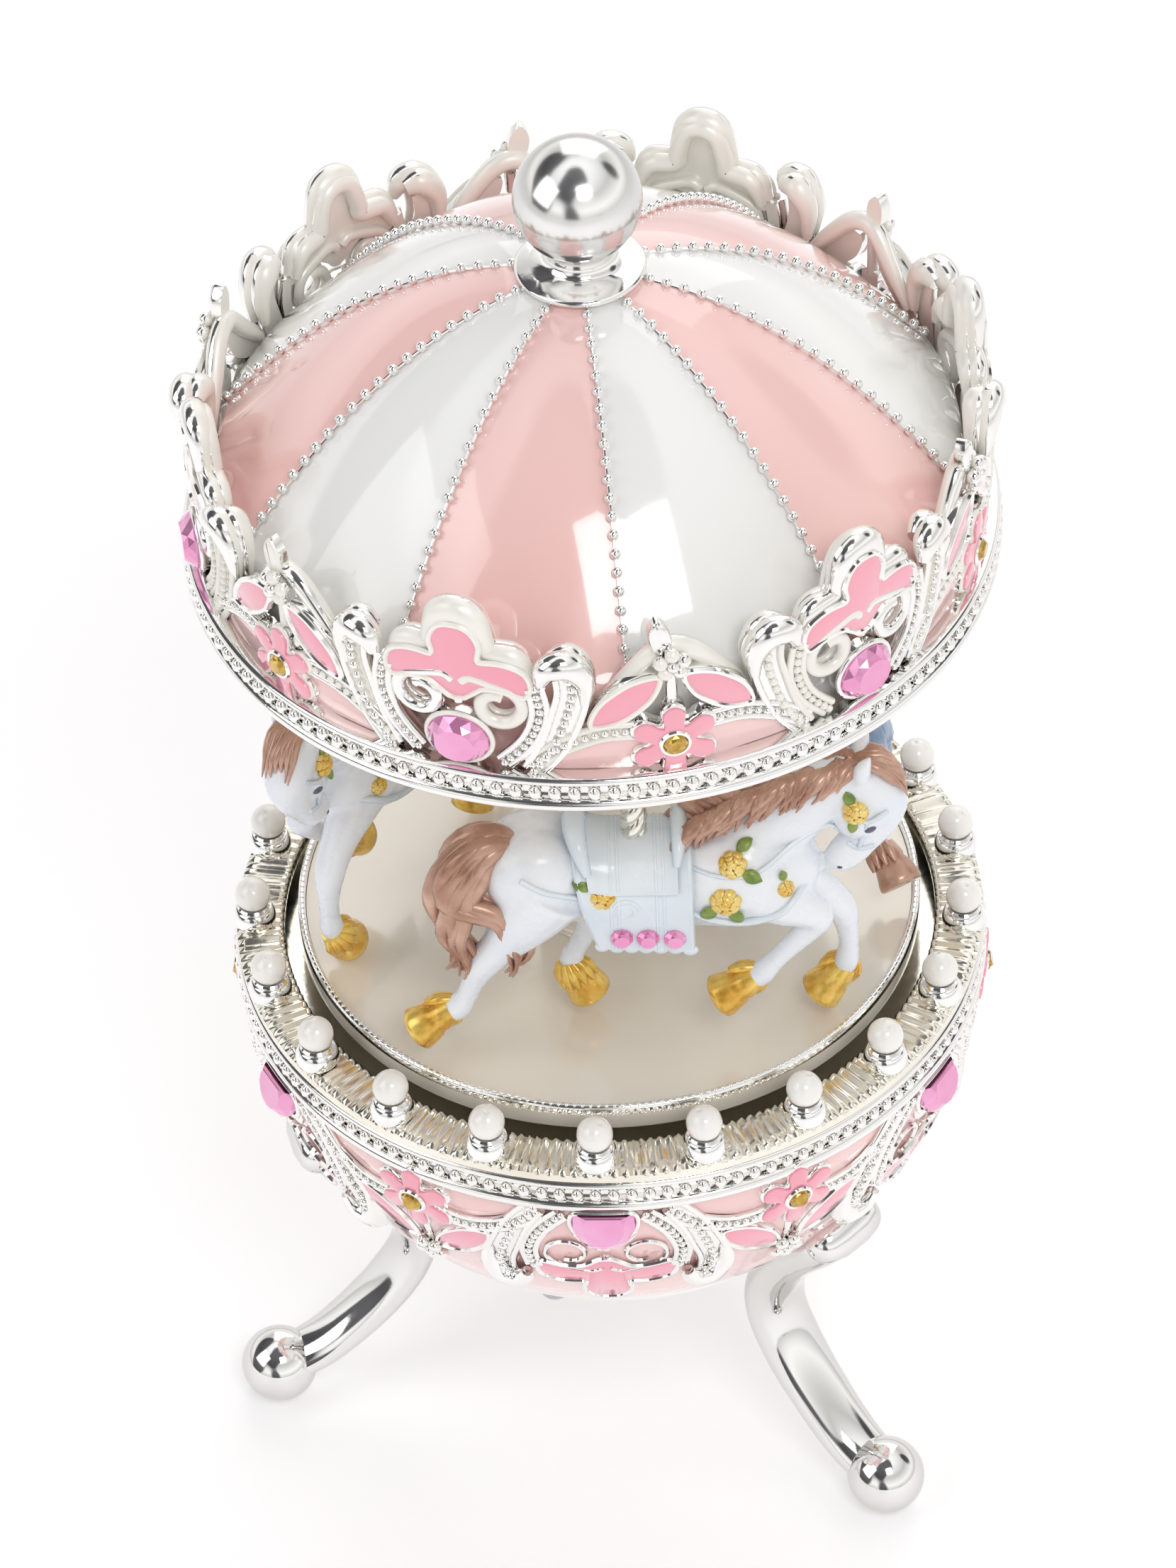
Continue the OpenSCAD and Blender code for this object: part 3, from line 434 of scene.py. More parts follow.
def band(z0, height, radius, inner):
    """A band with a plain foot, a channel for a row of beads and a thin top fillet."""
    outline = [(inner, z0 + 0.3)] + arc(inner + 0.3, z0 + 0.3, 0.3, 180, 270, 3) \
        + [(radius - 0.5, z0)] + arc(radius - 0.35, z0 + 0.75, 0.75, -80, 80, 7) \
        + [(radius - 0.7, z0 + 1.6), (radius - 0.7, z0 + height - 1.0)] \
        + arc(radius - 0.3, z0 + height - 0.5, 0.5, -80, 90, 6) + [(inner, z0 + height)]
    return turned(outline, 180, closed=True)


BEADS_ROUND = 134
band_z = BOWL_TOP - BAND_H
bm = band(band_z, BAND_H, RIM_R, RIM_R - 1.4)
bead_row(bm, RIM_R - 0.15, band_z + 2.45, BEADS_ROUND, 0.72, squash=(0.9, 0.95, 1.15))
add_piece(bm, "bowl_bead_row", "base", silver, ["bowl_bead_band"])

profile = [(bowl_radius(BOWL_FOOT + (BOWL_TOP - BOWL_FOOT) * t / 40) + 0.1,
            BOWL_FOOT + (BOWL_TOP - BOWL_FOOT) * t / 40) for t in range(0, 41)]
inside = [(r - 2.2, z) for r, z in reversed(profile) if z > BOWL_FOOT + 1.6]
bm = turned([(26, BOWL_FOOT)] + profile + inside + [(26, BOWL_FOOT + 1.5)], 180, closed=True)
for face in bm.faces:
    c = face.calc_center_median()
    face.material_index = 1 if (c.to_2d().length > bowl_radius(c.z) - 1 and c.z > BOWL_FOOT + 0.6) else 0
add_piece(bm, "bowl_wall", "base", [silver, pale_enamel], ["base_bowl"])

FLUTES = 210
bm = bmesh.new()
lip = RIM_R - 0.1
rim_in = 36.6
ring = turned([(rim_in, BOWL_TOP + 0.1), (rim_in, RIM_TOP - 0.4), (rim_in + 0.35, RIM_TOP - 0.05),
               (rim_in + 0.8, RIM_TOP), (lip - 1.6, RIM_TOP), (lip - 0.8, RIM_TOP - 0.1),
               (lip - 0.5, RIM_TOP - 0.2), (lip, RIM_TOP - 0.6), (lip, BOWL_TOP + 0.1)],
              FLUTES * 4, closed=True)
for v in ring.verts:
    r = v.co.to_2d().length
    if v.co.z > RIM_TOP - 0.5 and r < lip - 0.4:
        a = math.atan2(v.co.y, v.co.x)
        swirl = a * FLUTES + 2.0 * math.sin(a * 17) + 0.6 * math.sin(a * 41)
        v.co.z -= 0.19 + 0.19 * math.cos(swirl)
add_piece(ring, "fluted_rim_ring", "base", warm_silver, ["fluted_rim"], sharp=60)

CUP_FOOT = RIM_TOP - 0.25
cup = as_mesh(turned([(0.0, CUP_FOOT), (2.1, CUP_FOOT)] + arc(0.2, CUP_FOOT + 0.9, 2.25, -18, 40, 7)
                     + [(1.75, CUP_FOOT + 2.3), (1.9, CUP_FOOT + 2.55), (1.7, CUP_FOOT + 2.75),
                        (1.3, CUP_FOOT + 2.5), (0.0, CUP_FOOT + 2.2)], 32), "cup")
pearl = as_mesh(turned([(0.0, -PEARL_R)] + arc(0, 0, PEARL_R, -86, 83, 18) + [(0.22, PEARL_R - 0.05),
        (0.0, PEARL_R - 0.14)],
                       40), "pearl")
cups, pearls = bmesh.new(), bmesh.new()
for i in range(PEARLS):
    turn = Matrix.Rotation(PEARL_AZ + TURN * i / PEARLS, 4, "Z")
    stamp(cups, cup, turn @ Matrix.Translation((PEARL_RING_R, 0, 0)))
    stamp(pearls, pearl, turn @ Matrix.Translation((PEARL_RING_R, 0, PEARL_Z))
          @ Matrix.Rotation(chance.uniform(0, TURN), 4, "Z") @ Matrix.Rotation(chance.uniform(0.1, 0.5),
                  4, "X"))
add_piece(cups, "pearl_cup_set", "base", bright_silver, ["pearl_cups"], sharp=70)
add_piece(pearls, "pearl_set", "base", pearl_white, ["pearls"], sharp=80)


# ---------------------------------------------------------------- the casting's motifs, drawn flat
# x runs along the wall, y up from the band's edge, z out of the wall.
BAR_Y = 0.655 * GALLERY_H
STONE_Y = 8.0
TOP_Y = GALLERY_H
HALF_STONE_Y = BAND_H + 1.7


def trefoil_outline(grow=0.0):
    g = grow
    half = [(0, TOP_Y - 2.2 + g), (1.6 + g * 0.8, TOP_Y - 2.7 + g * 0.6), (2.4 + g, TOP_Y - 4.6),
            (2.1 + g, TOP_Y - 6.4 + g * 0.3), (3.3, BAR_Y + 2.0 + g), (5.2, BAR_Y + 2.0 + g),
            (7.0 + g * 0.6, BAR_Y + 1.1 + g * 0.7), (7.5 + g, BAR_Y - 0.6), (6.9 + g * 0.6,
                    BAR_Y - 1.9 - g * 0.6),
            (5.0, BAR_Y - 1.2 - g), (2.6, BAR_Y - 1.3 - g), (0, BAR_Y - 3.2 - g)]
    return smooth_outline(half + [(-x, y) for x, y in reversed(half[1:-1])], 3)


def leaf_outline(start, end, width, grow=0.0):
    a, b = Vector(start), Vector(end)
    d = (b - a).normalized()
    n = Vector((-d.y, d.x))
    a, b = a - d * grow, b + d * grow
    shape = [(0.0, 0.0), (0.12, 0.55), (0.3, 0.92), (0.5, 1.0), (0.7, 0.92), (0.88, 0.55), (1.0, 0.0)]
    w = width / 2 + grow
    side = [a.lerp(b, t) + n * w * s for t, s in shape]
    other = [a.lerp(b, t) - n * w * s for t, s in reversed(shape[1:-1])]
    return smooth_outline([(p.x, p.y) for p in side + other], 3)


def daisy_outline(petals=6, inner=2.1, outer=4.6, grow=0.0, turn=90):
    points = []
    for i in range(petals):
        for k, r in ((-0.28, outer * 0.86), (0.0, outer), (0.28, outer * 0.86), (0.5, inner)):
            a = math.radians(turn) + TURN * (i + k) / petals
            points.append(((r + grow) * math.cos(a), (r + grow) * math.sin(a)))
    return smooth_outline(points, 3)


def lens_outline(side, low):
    """The pale panel between the band and the beaded arch, on one side of the daisy."""
    top = [(side * 1.5, 4.6), (side * 6.0, 4.4), (side * 10.5, 2.6), (side * 14.5, 0.35)]
    pts = [(x, y + low) for x, y in top] + [(side * 8, low + 0.1), (side * 1.5, low + 0.1)]
    return smooth_outline(pts, 3)


def edge_wire(bm, outline, size, lift, material=None):
    add_rod(bm, [(x, y, lift) for x, y in outline[::2]], size, 1, 2, loop=True, material=material)


def shifted(outline, dx, dy):
    return [(x + dx, y + dy) for x, y in outline]


def bead_line(bm, points, size, lift, step=None, squash=(1, 1, 0.9)):
    for p in along([(*q, lift) for q in points], step or size * 2.25):
        add_ball(bm, p, size * chance.uniform(0.93, 1.07), BEAD, squash)


def beaded_strap(bm, points, width, lift, beads, thick=1.3):
    """A strap with two raised edges and a row of beads between them."""
    middle = [Vector((*p, 0)) for p in points]
    sides = []
    for s in (-1, 1):
        line = []
        for i, p in enumerate(middle):
            d = (middle[min(i + 1, len(middle) - 1)] - middle[max(i - 1, 0)]).normalized()
            w = (width[i] if isinstance(width, (list, tuple)) else width) / 2
            line.append(p + Vector((-d.y, d.x, 0)) * w * s + Vector((0, 0, lift)))
        sides.append(line)
        add_rod(bm, line, 0.42, 2, 5)
    outline = [(p.x, p.y) for line in (along(sides[0], 0.9), reversed(along(sides[1], 0.9))) for p in line]
    stamp(bm, plate(outline, thick, lift - thick, 0.25), Matrix.Identity(4))
    bead_line(bm, points, beads, lift + 0.25, beads * 2.2)


def finger(bm, side, lift, top=0.76):
    """A beaded leaf that rises beside the trefoil and rolls over at its tip."""
    high = top * GALLERY_H
    root = [(side * 7.6, 4.4), (side * 9.8, 8.0), (side * 11.2, 12.0), (side * 11.9, high - 4.0),
            (side * 11.4, high - 1.2)]
    beaded_strap(bm, root, [2.0, 2.6, 3.0, 3.0, 2.4], lift, 0.52)
    hook = [(side * 13.1, high - 6.0, lift - 0.4), (side * 13.2, high - 2.4, lift - 0.2),
            (side * 11.6, high - 0.1, lift), (side * 9.6, high - 0.4, lift + 0.3),
            (side * 8.8, high - 2.2, lift + 0.5)]
    add_rod(bm, hook, [0.6, 1.2, 1.6, 1.45, 0.7], 4, 6)
    add_rod(bm, [(x, y, z - 1.3) for x, y, z in hook[:4]], [0.6, 1.2, 1.6, 1.0], 3, 6)


def scroll(bm, side, lift, size=0.75, thick=2):
    """A C-scroll that rolls out from under the trefoil."""
    points = []
    for k in range(15):
        t = k / 14
        a = math.radians(100 + 370 * t)
        r = 2.8 - 1.3 * t
        points.append((side * (4.2 + r * math.cos(a) * -1), 12.6 + r * math.sin(a), lift))
    points = [(side * 0.5, 15.6, lift), (side * 1.6, 16.3, lift)] + points
    add_rod(bm, points, [size] * len(points), thick, 3)
    return points


def motif_a(pierced=True):
    """The trefoil motif: returns its silver and its rose and pale enamel as flat meshes."""
    cast, rose, pale = bmesh.new(), bmesh.new(), bmesh.new()
    lift = 0.0
    back = plate(trefoil_outline(0.55), 1.3, lift - 1.3, 0.5)
    stamp(cast, back, Matrix.Identity(4))
    edge_wire(cast, trefoil_outline(0.25), 0.34, lift + 0.12)
    stamp(rose, plate(trefoil_outline(0.1), 0.3, lift - 0.1, 0.15), Matrix.Identity(4))
    if pierced:
        cap = [(-7.6, BAR_Y - 0.5), (-6.2, BAR_Y + 2.3), (-3.2, BAR_Y + 2.8), (-2.9, TOP_Y - 4.6),
               (-1.9, TOP_Y - 1.6), (0, TOP_Y - 0.75), (1.9, TOP_Y - 1.6), (2.9, TOP_Y - 4.6),
               (3.2, BAR_Y + 2.8), (6.2, BAR_Y + 2.3), (7.6, BAR_Y - 0.5)]
        add_rod(cast, [(x, y, -1.1) for x, y in cap], [0.8, 1.15, 1.0, 1.1, 1.4, 1.5, 1.4, 1.1, 1.0,
                                                       1.15, 0.8], 4, 5)
        add_rod(cast, [(x * 0.97, y - 0.3, -2.0) for x, y in cap], [0.6] + [1.1] * 9 + [0.6], 3, 5)
        scroll(cast, -1, lift - 0.4, 0.78)
        scroll(cast, 1, lift - 0.4, 0.78)
        scroll(cast, -1, lift - 1.5, 0.7)
        scroll(cast, 1, lift - 1.5, 0.7)
    else:
        ground = [(-8.3, BAR_Y - 0.6), (-8.0, 10.5), (-5.8, 6.4), (-3.6, 4.6), (3.6, 4.6), (5.8, 6.4),
                  (8.0, 10.5), (8.3, BAR_Y - 0.6), (4, BAR_Y - 0.6), (0, BAR_Y - 2.4), (-4, BAR_Y - 0.6)]
        stamp(pale, plate(smooth_outline(ground, 3), 0.35, lift - 0.45, 0.15), Matrix.Identity(4))
        for side in (-1, 1):
            scroll(cast, side, lift - 0.05, 0.3, 1)
    for side in (-1, 1):
        frame_line = [(side * 8.1, BAR_Y - 0.8), (side * 8.5, 12.2), (side * 7.2, 8.4), (side * 4.6, 5.2)]
        beaded_strap(cast, frame_line, 1.5, lift - 0.1, 0.45)
        finger(cast, side, lift)
    add_rod(cast, [(0, BAR_Y - 2.6, lift - 0.4), (0, 12.6, lift - 0.4)], 0.6, 2, 3)
    round_seat = [(3.5 * math.cos(a), STONE_Y + 3.2 * math.sin(a), lift + 0.25)
                  for a in (TURN * k / 12 for k in range(12))]
    flat_seat = [(3.7 * math.cos(a), max(BAND_H + 0.3, HALF_STONE_Y + 3.8 * math.sin(a)), lift + 0.25)
                 for a in (TURN * k / 24 for k in range(24))]
    add_rod(cast, round_seat if pierced else flat_seat, 0.32, 2, 4 if pierced else 2, loop=True)
    stamp(cast, plate([(3.6 * math.cos(a), STONE_Y + 3.3 * math.sin(a)) for a in
                       (TURN * k / 20 for k in range(20))], 1.2, lift - 1.2, 0.0), Matrix.Identity(4))
    return as_mesh(cast), as_mesh(rose), as_mesh(pale)


def motif_b(pierced=True):
    """The petal and daisy motif with its beaded arches."""
    cast, rose, pale = bmesh.new(), bmesh.new(), bmesh.new()
    lift = 0.0
    for side in (-1, 1):
        start, end = (side * 1.5, 0.655 * GALLERY_H), (side * 8.2, 0.43 * GALLERY_H)
        stamp(cast, plate(leaf_outline(start, end, 3.1, 0.5), 1.4, lift - 1.4, 0.4), Matrix.Identity(4))
        edge_wire(cast, leaf_outline(start, end, 3.1, 0.25), 0.34, lift + 0.12)
        stamp(rose, plate(leaf_outline(start, end, 3.1, 0.1), 0.3, lift - 0.1, 0.15), Matrix.Identity(4))
        arch = [(side * 3.8, 9.7), (side * 7.5, 9.6), (side * 11.5, 7.8), (side * 14.6, 5.2)]
        beaded_strap(cast, arch, 1.7, lift - 0.1, 0.45)
        stamp(pale, plate(lens_outline(side, BAND_H), 0.5, lift - 0.75, 0.1), Matrix.Identity(4))
        stamp(cast, plate(lens_outline(side, BAND_H), 0.6, lift - 1.5, 0.0), Matrix.Identity(4))
        if not pierced:
            field = [(side * 0.6, 9.5), (side * 8.0, 9.6), (side * 10.2, 12.0), (side * 10.6, 17.0),
                     (side * 4.0, 19.6), (side * 0.6, 19.0)]
            stamp(pale, plate(smooth_outline(field, 3), 0.3, lift - 0.55, 0.1), Matrix.Identity(4))
    top = 0.73 * GALLERY_H
    for i in range(5):
        a = math.radians(90) + TURN * i / 5
        add_ball(cast, (1.25 * math.cos(a), top + 1.25 * math.sin(a), lift + 0.35), 0.78, ROUND)
    add_ball(cast, (0, top, lift + 0.75), 0.6, ROUND)
    if pierced:
        thorn = leaf_outline((-0.6, top + 0.4), (-1.4, top + 5.2), 2.4)
        stamp(cast, plate(thorn, 1.5, lift - 1.6, 0.5), Matrix.Identity(4))
        add_rod(cast, [(-7.6, 12.2, -1.6), (-4.6, 15.6, -1.7), (-1.2, 19.2, -1.6), (2.0, 18.8, -1.6),
                       (5.4, 15.4, -1.7), (8.6, 11.4, -1.6)], [0.7, 1.0, 1.1, 1.1, 1.0, 0.7], 3, 5)
    add_rod(cast, [(0, top - 1.2, lift - 0.7), (0, 12.2, lift - 0.7)], 0.7, 2, 3)
    outer = shifted(daisy_outline(grow=0.45), 0, STONE_Y)
    stamp(cast, plate(outer, 1.7, lift - 1.2, 0.3), Matrix.Identity(4))
    stamp(rose, plate(shifted(daisy_outline(grow=0.05), 0, STONE_Y), 0.4, lift + 0.4, 0.2),
          Matrix.Identity(4))
    ring = [(1.45 * math.cos(a), STONE_Y + 1.45 * math.sin(a), lift + 0.9)
            for a in (TURN * k / 10 for k in range(10))]
    add_rod(cast, ring, 0.26, 1, 3, loop=True)
    return as_mesh(cast), as_mesh(rose), as_mesh(pale)


def bend_round(bm, first, azimuth, base_z, up, radius_at):
    """Bends the flat verts from index first on round the wall."""
    bm.verts.ensure_lookup_table()
    for v in bm.verts[first:]:
        x, y, out = v.co
        z = base_z + up * y
        r = radius_at(z, y)
        a = azimuth + up * x / max(r, 20)
        v.co = ((r + out) * math.cos(a), (r + out) * math.sin(a), z)


def wrapped(meshes, azimuths, base_z, up, radius_at):
    bm = bmesh.new()
    for mesh, azimuth in ((m, a) for m, many in zip(meshes, azimuths) for a in many):
        first = len(bm.verts)
        stamp(bm, mesh, Matrix.Identity(4))
        bend_round(bm, first, azimuth, base_z, up, radius_at)
    bmesh.ops.recalc_face_normals(bm, faces=bm.faces)
    bm.normal_update()
    return bm


def inside_satin(bm):
    """Gives the faces that look at the axis the second finish."""
    for face in bm.faces:
        out = face.calc_center_median().to_2d().normalized()
        face.material_index = 1 if face.normal.to_2d().dot(out) < -0.15 else 0
    return bm


def canopy_wall(z, y):
    return CANOPY_R - 0.75 + 0.02 * max(0.0, y - 4)


def bowl_wall(z, y):
    return bowl_radius(z) + 0.75


def motif_places(first):
    return [first + TURN * i / MOTIFS for i in range(MOTIFS)]


canopy_a, canopy_b = motif_a(True), motif_b(True)
bowl_a, bowl_b = motif_a(False), motif_b(False)
HALF = TURN / MOTIFS / 2
canopy_places = (motif_places(CANOPY_AZ), motif_places(CANOPY_AZ + HALF))
bowl_places = (motif_places(BOWL_AZ), motif_places(BOWL_AZ + HALF))

bm = wrapped((canopy_a[0], canopy_b[0]), canopy_places, CANOPY_Z, 1, canopy_wall)
add_piece(inside_satin(bm), "canopy_casting", "carousel", [silver, satin_back], ["canopy_gallery"],
          sharp=50)
bm = wrapped((canopy_a[1], canopy_b[1]), canopy_places, CANOPY_Z, 1, canopy_wall)
add_piece(bm, "canopy_rose_enamel", "carousel", rose_enamel, ["canopy_enamel", "canopy_daisies"])
bm = wrapped((canopy_b[2],), canopy_places[1:], CANOPY_Z, 1, canopy_wall)
add_piece(bm, "canopy_pale_enamel", "carousel", pale_enamel, [])

bm = wrapped((bowl_a[0], bowl_b[0]), bowl_places, BOWL_TOP, -1, bowl_wall)
add_piece(bm, "bowl_casting", "base", silver, ["bowl_gallery"], sharp=50)
bm = wrapped((bowl_a[1], bowl_b[1]), bowl_places, BOWL_TOP, -1, bowl_wall)
add_piece(bm, "bowl_rose_enamel", "base", rose_enamel, ["bowl_enamel", "bowl_daisies"])
bm = wrapped((bowl_a[2], bowl_b[2]), bowl_places, BOWL_TOP, -1, bowl_wall)
add_piece(bm, "bowl_pale_enamel", "base", pale_enamel, [])


# ---------------------------------------------------------------- stones
def gem(width, height, depth, facets=12):
    """A cut stone: a girdle, a ring of crown facets and a flat table."""
    bm = bmesh.new()
    bmesh.ops.create_circle(bm, cap_ends=True, radius=0.5, segments=facets)
    table = bm.faces[:]
    for scale, rise in ((1.0, 0.35), (0.82, 0.35), (0.66, 0.3)):
        up = bmesh.ops.extrude_face_region(bm, geom=table)
        table = [f for f in up["geom"] if isinstance(f, bmesh.types.BMFace)]
        verts = list({v for f in table for v in f.verts})
        bmesh.ops.translate(bm, vec=(0, 0, depth * rise), verts=verts)
        if scale < 1:
            now = max(v.co.to_2d().length for v in verts)
            bmesh.ops.scale(bm, vec=(scale * 0.5 / now, scale * 0.5 / now, 1), verts=verts)
            bmesh.ops.rotate(bm, cent=(0, 0, 0), matrix=Matrix.Rotation(math.pi / facets, 3, "Z"),
                             verts=verts)
    bmesh.ops.scale(bm, vec=(width, height, 1), verts=bm.verts)
    bmesh.ops.triangulate(bm, faces=[f for f in bm.faces if len(f.verts) == 4])
    bmesh.ops.recalc_face_normals(bm, faces=bm.faces)
    return as_mesh(bm, "gem")


def facing_out(azimuth, radius, z, lean=0.0):
    """A place on a wall, with local z pointing out and local y up."""
    return Matrix.Translation((radius * math.cos(azimuth), radius * math.sin(azimuth), z)) \
        @ Matrix.Rotation(azimuth, 4, "Z") @ Matrix.Rotation(-lean, 4, "Y") \
        @ Matrix.Rotation(math.radians(90), 4, "Y") @ Matrix.Rotation(math.radians(90), 4, "Z")


def half_stone():
    """An oval stone cut flat where it meets the band."""
    bm = bmesh.new()
    bm.from_mesh(gem(6.9, 7.2, 1.8, 14))
    bmesh.ops.bisect_plane(bm, geom=bm.verts[:] + bm.edges[:] + bm.faces[:], plane_co=(0, 1.3, 0),
                           plane_no=(0, 1, 0), clear_outer=True)
    bmesh.ops.holes_fill(bm, edges=[e for e in bm.edges if e.is_boundary])
    return as_mesh(bm, "half_gem")


oval_gem, half_gem, dot_gem = gem(6.6, 6.0, 1.9, 14), half_stone(), gem(2.5, 2.5, 0.9, 8)
pink_top, pink_low, amber_top, amber_low = (bmesh.new() for _ in range(4))
for i in range(MOTIFS):
    step = TURN * i / MOTIFS
    stamp(pink_top, oval_gem, facing_out(CANOPY_AZ + step, CANOPY_R - 0.65, CANOPY_Z + STONE_Y))
    stamp(amber_top, dot_gem, facing_out(CANOPY_AZ + HALF + step, CANOPY_R + 0.0, CANOPY_Z + STONE_Y))
    z = BOWL_TOP - HALF_STONE_Y
    stamp(pink_low, half_gem, facing_out(BOWL_AZ + step, bowl_radius(z) + 0.75, z, math.radians(12)))
    z = BOWL_TOP - STONE_Y
    stamp(amber_low, dot_gem, facing_out(BOWL_AZ + HALF + step, bowl_radius(z) + 1.45, z, math.radians(14)))
add_piece(pink_top, "canopy_oval_stones", "carousel", pink_gem, ["canopy_pink_stones"], sharp=1)
add_piece(amber_top, "canopy_daisy_stones", "carousel", amber_gem, ["canopy_amber_stones"],
          sharp=1)
add_piece(pink_low, "bowl_oval_stones", "base", pink_gem, ["bowl_pink_stones"], sharp=1)
add_piece(amber_low, "bowl_daisy_stones", "base", amber_gem, ["bowl_amber_stones"], sharp=1)


# ---------------------------------------------------------------- legs
LEG_LINE = [(35.4, 41.2), (33.6, 38.0), (29.6, 33.6), (26.4, 28.6), (24.9, 23.8), (25.6, 19.2),
            (28.6, 14.4), (32.8, 10.0), (37.4, 6.4), (42.4, 4.4)]
LEG_THICK = [2.3, 2.8, 3.1, 2.9, 2.7, 2.5, 2.4, 2.3, 2.2, 2.1]
LEG_WIDE = [4.0, 4.4, 4.4, 4.3, 4.2, 4.0, 3.9, 3.7, 3.5, 3.2]
FOOT_R = 4.49


def leg(number, azimuth):
    bm = bmesh.new()
    add_rod(bm, [(x, 0, z) for x, z in LEG_LINE], LEG_THICK, 8, 6)
    line = along([(x, 0, z) for x, z in LEG_LINE], 0.8)
    for v in bm.verts:
        near = min(range(len(line)), key=lambda k: (line[k] - Vector((v.co.x, 0, v.co.z))).length_squared)
        t = near / (len(line) - 1) * (len(LEG_WIDE) - 1)
        k = min(int(t), len(LEG_WIDE) - 2)
        wide = LEG_WIDE[k] + (LEG_WIDE[k + 1] - LEG_WIDE[k]) * (t - k)
        thick = LEG_THICK[k] + (LEG_THICK[k + 1] - LEG_THICK[k]) * (t - k)
        v.co.y *= wide / thick
    add_ball(bm, (42.4, 0, FOOT_R - 0.12), FOOT_R, ball_mesh(1.0, 28, 40))
    bmesh.ops.bisect_plane(bm, geom=bm.verts[:] + bm.edges[:] + bm.faces[:], plane_co=(0, 0, TABLE_Z),
                           plane_no=(0, 0, -1), clear_outer=True)
    bmesh.ops.holes_fill(bm, edges=[e for e in bm.edges if e.is_boundary])
    knob = as_mesh(turned([(0.0, -3.5)] + arc(0, -2.6, 2.5, -80, -20, 4) + [(2.75, -1.6), (2.75, 1.6)]
                          + arc(0, 2.6, 2.5, 20, 80, 4) + [(0.0, 3.5)], 32))
    stamp(bm, knob, Matrix.Translation((36.0, 0, 41.2)) @ Matrix.Rotation(math.radians(90), 4, "X"))
    bmesh.ops.transform(bm, matrix=Matrix.Rotation(azimuth, 4, "Z"), verts=bm.verts)
    bmesh.ops.recalc_face_normals(bm, faces=bm.faces)
    add_piece(bm, "scroll_leg_%d" % number, "base", leg_silver, ["leg_%d" % number], sharp=50)


for i, azimuth in enumerate(LEG_AZ):
    leg(i + 1, azimuth)


# ---------------------------------------------------------------- turning floor and column
bm = turned([(0.0, FLOOR_TOP - 2.7), (FLOOR_R - 0.3, FLOOR_TOP - 2.7)]
            + arc(FLOOR_R - 0.4, FLOOR_TOP - 2.3, 0.38, -90, 0, 4)
            + [(FLOOR_R - 0.02, FLOOR_TOP - 0.5), (FLOOR_R - 0.9, FLOOR_TOP - 0.5), (FLOOR_R - 0.95,
                    FLOOR_TOP),
               (24, FLOOR_TOP), (12, FLOOR_TOP), (0.0, FLOOR_TOP)], 144)
add_piece(bm, "floor_disc", "carousel", cream_mirror, ["turntable_floor"])
bm = turned([(FLOOR_R - 0.9, FLOOR_TOP - 0.5), (FLOOR_R - 0.02, FLOOR_TOP - 0.5), (FLOOR_R - 0.02,
        FLOOR_TOP + 0.1)]
            + arc(FLOOR_R - 0.45, FLOOR_TOP + 0.3, 0.42, 0, 180, 7) + [(FLOOR_R - 0.9, FLOOR_TOP)], 180,
            closed=True)
bead_row(bm, FLOOR_R - 0.45, FLOOR_TOP + 0.55, 250, 0.3, squash=(1.1, 1, 0.9))
add_piece(bm, "floor_bead_edge", "carousel", bright_silver, ["floor_rim"])

bm = turned([(0.0, FLOOR_TOP), (COLUMN_R + 0.8, FLOOR_TOP)] + arc(COLUMN_R + 0.45, FLOOR_TOP + 0.5,
                                                                  0.35, -70, 80, 5)
            + [(COLUMN_R + 0.05, FLOOR_TOP + 1.0), (COLUMN_R, FLOOR_TOP + 1.3), (COLUMN_R,
                    (FLOOR_TOP + CEILING_Z) / 2),
               (COLUMN_R, CEILING_Z - 1.3), (COLUMN_R + 0.05, CEILING_Z - 1.0)]
            + arc(COLUMN_R + 0.45, CEILING_Z - 0.5, 0.35, -80, 70, 5) + [(COLUMN_R + 0.8, CEILING_Z),
                    (0.0, CEILING_Z)], 96)
add_piece(bm, "column_drum", "carousel", cream_mirror, ["centre_column"])
bm = turned([(0.0, CEILING_Z), (CANOPY_R - 2.1, CEILING_Z)] + arc(CANOPY_R - 2.3, CEILING_Z + 0.3, 0.28,
                                                                  -90, 0, 3)
            + [(CANOPY_R - 2.0, CEILING_Z + 1.4), (0.0, CEILING_Z + 1.4)], 144)
add_piece(bm, "ceiling_disc", "carousel", cream_mirror, ["canopy_ceiling"])


def rope_pole(number, azimuth):
    bm = bmesh.new()
    x, y = HORSE_RING_R * math.cos(azimuth), HORSE_RING_R * math.sin(azimuth)
    foot, head = SADDLE_Z, CEILING_Z + 0.1
    for strand in range(3):
        path = []
        steps = int((head - foot) / 0.45)
        for k in range(steps + 1):
            z = foot + (head - foot) * k / steps
            a = TURN * (z - foot) / 7.0 + TURN * strand / 3
            path.append((x + 0.72 * math.cos(a), y + 0.72 * math.sin(a), z))
        add_rod(bm, path, 0.82, 3, 1)
    cap = turned([(0.0, head - 1.1), (1.4, head - 1.1), (2.0, head - 0.8), (2.2, head - 0.4), (2.2,
            head), (0.0, head)], 32)
    stamp(bm, as_mesh(cap), Matrix.Translation((x, y, 0)))
    add_piece(bm, "rope_pole_%d" % number, "carousel", warm_silver, ["pole_%d" % number])


for i, azimuth in enumerate(HORSE_AZ):
    rope_pole(i + 1, azimuth)


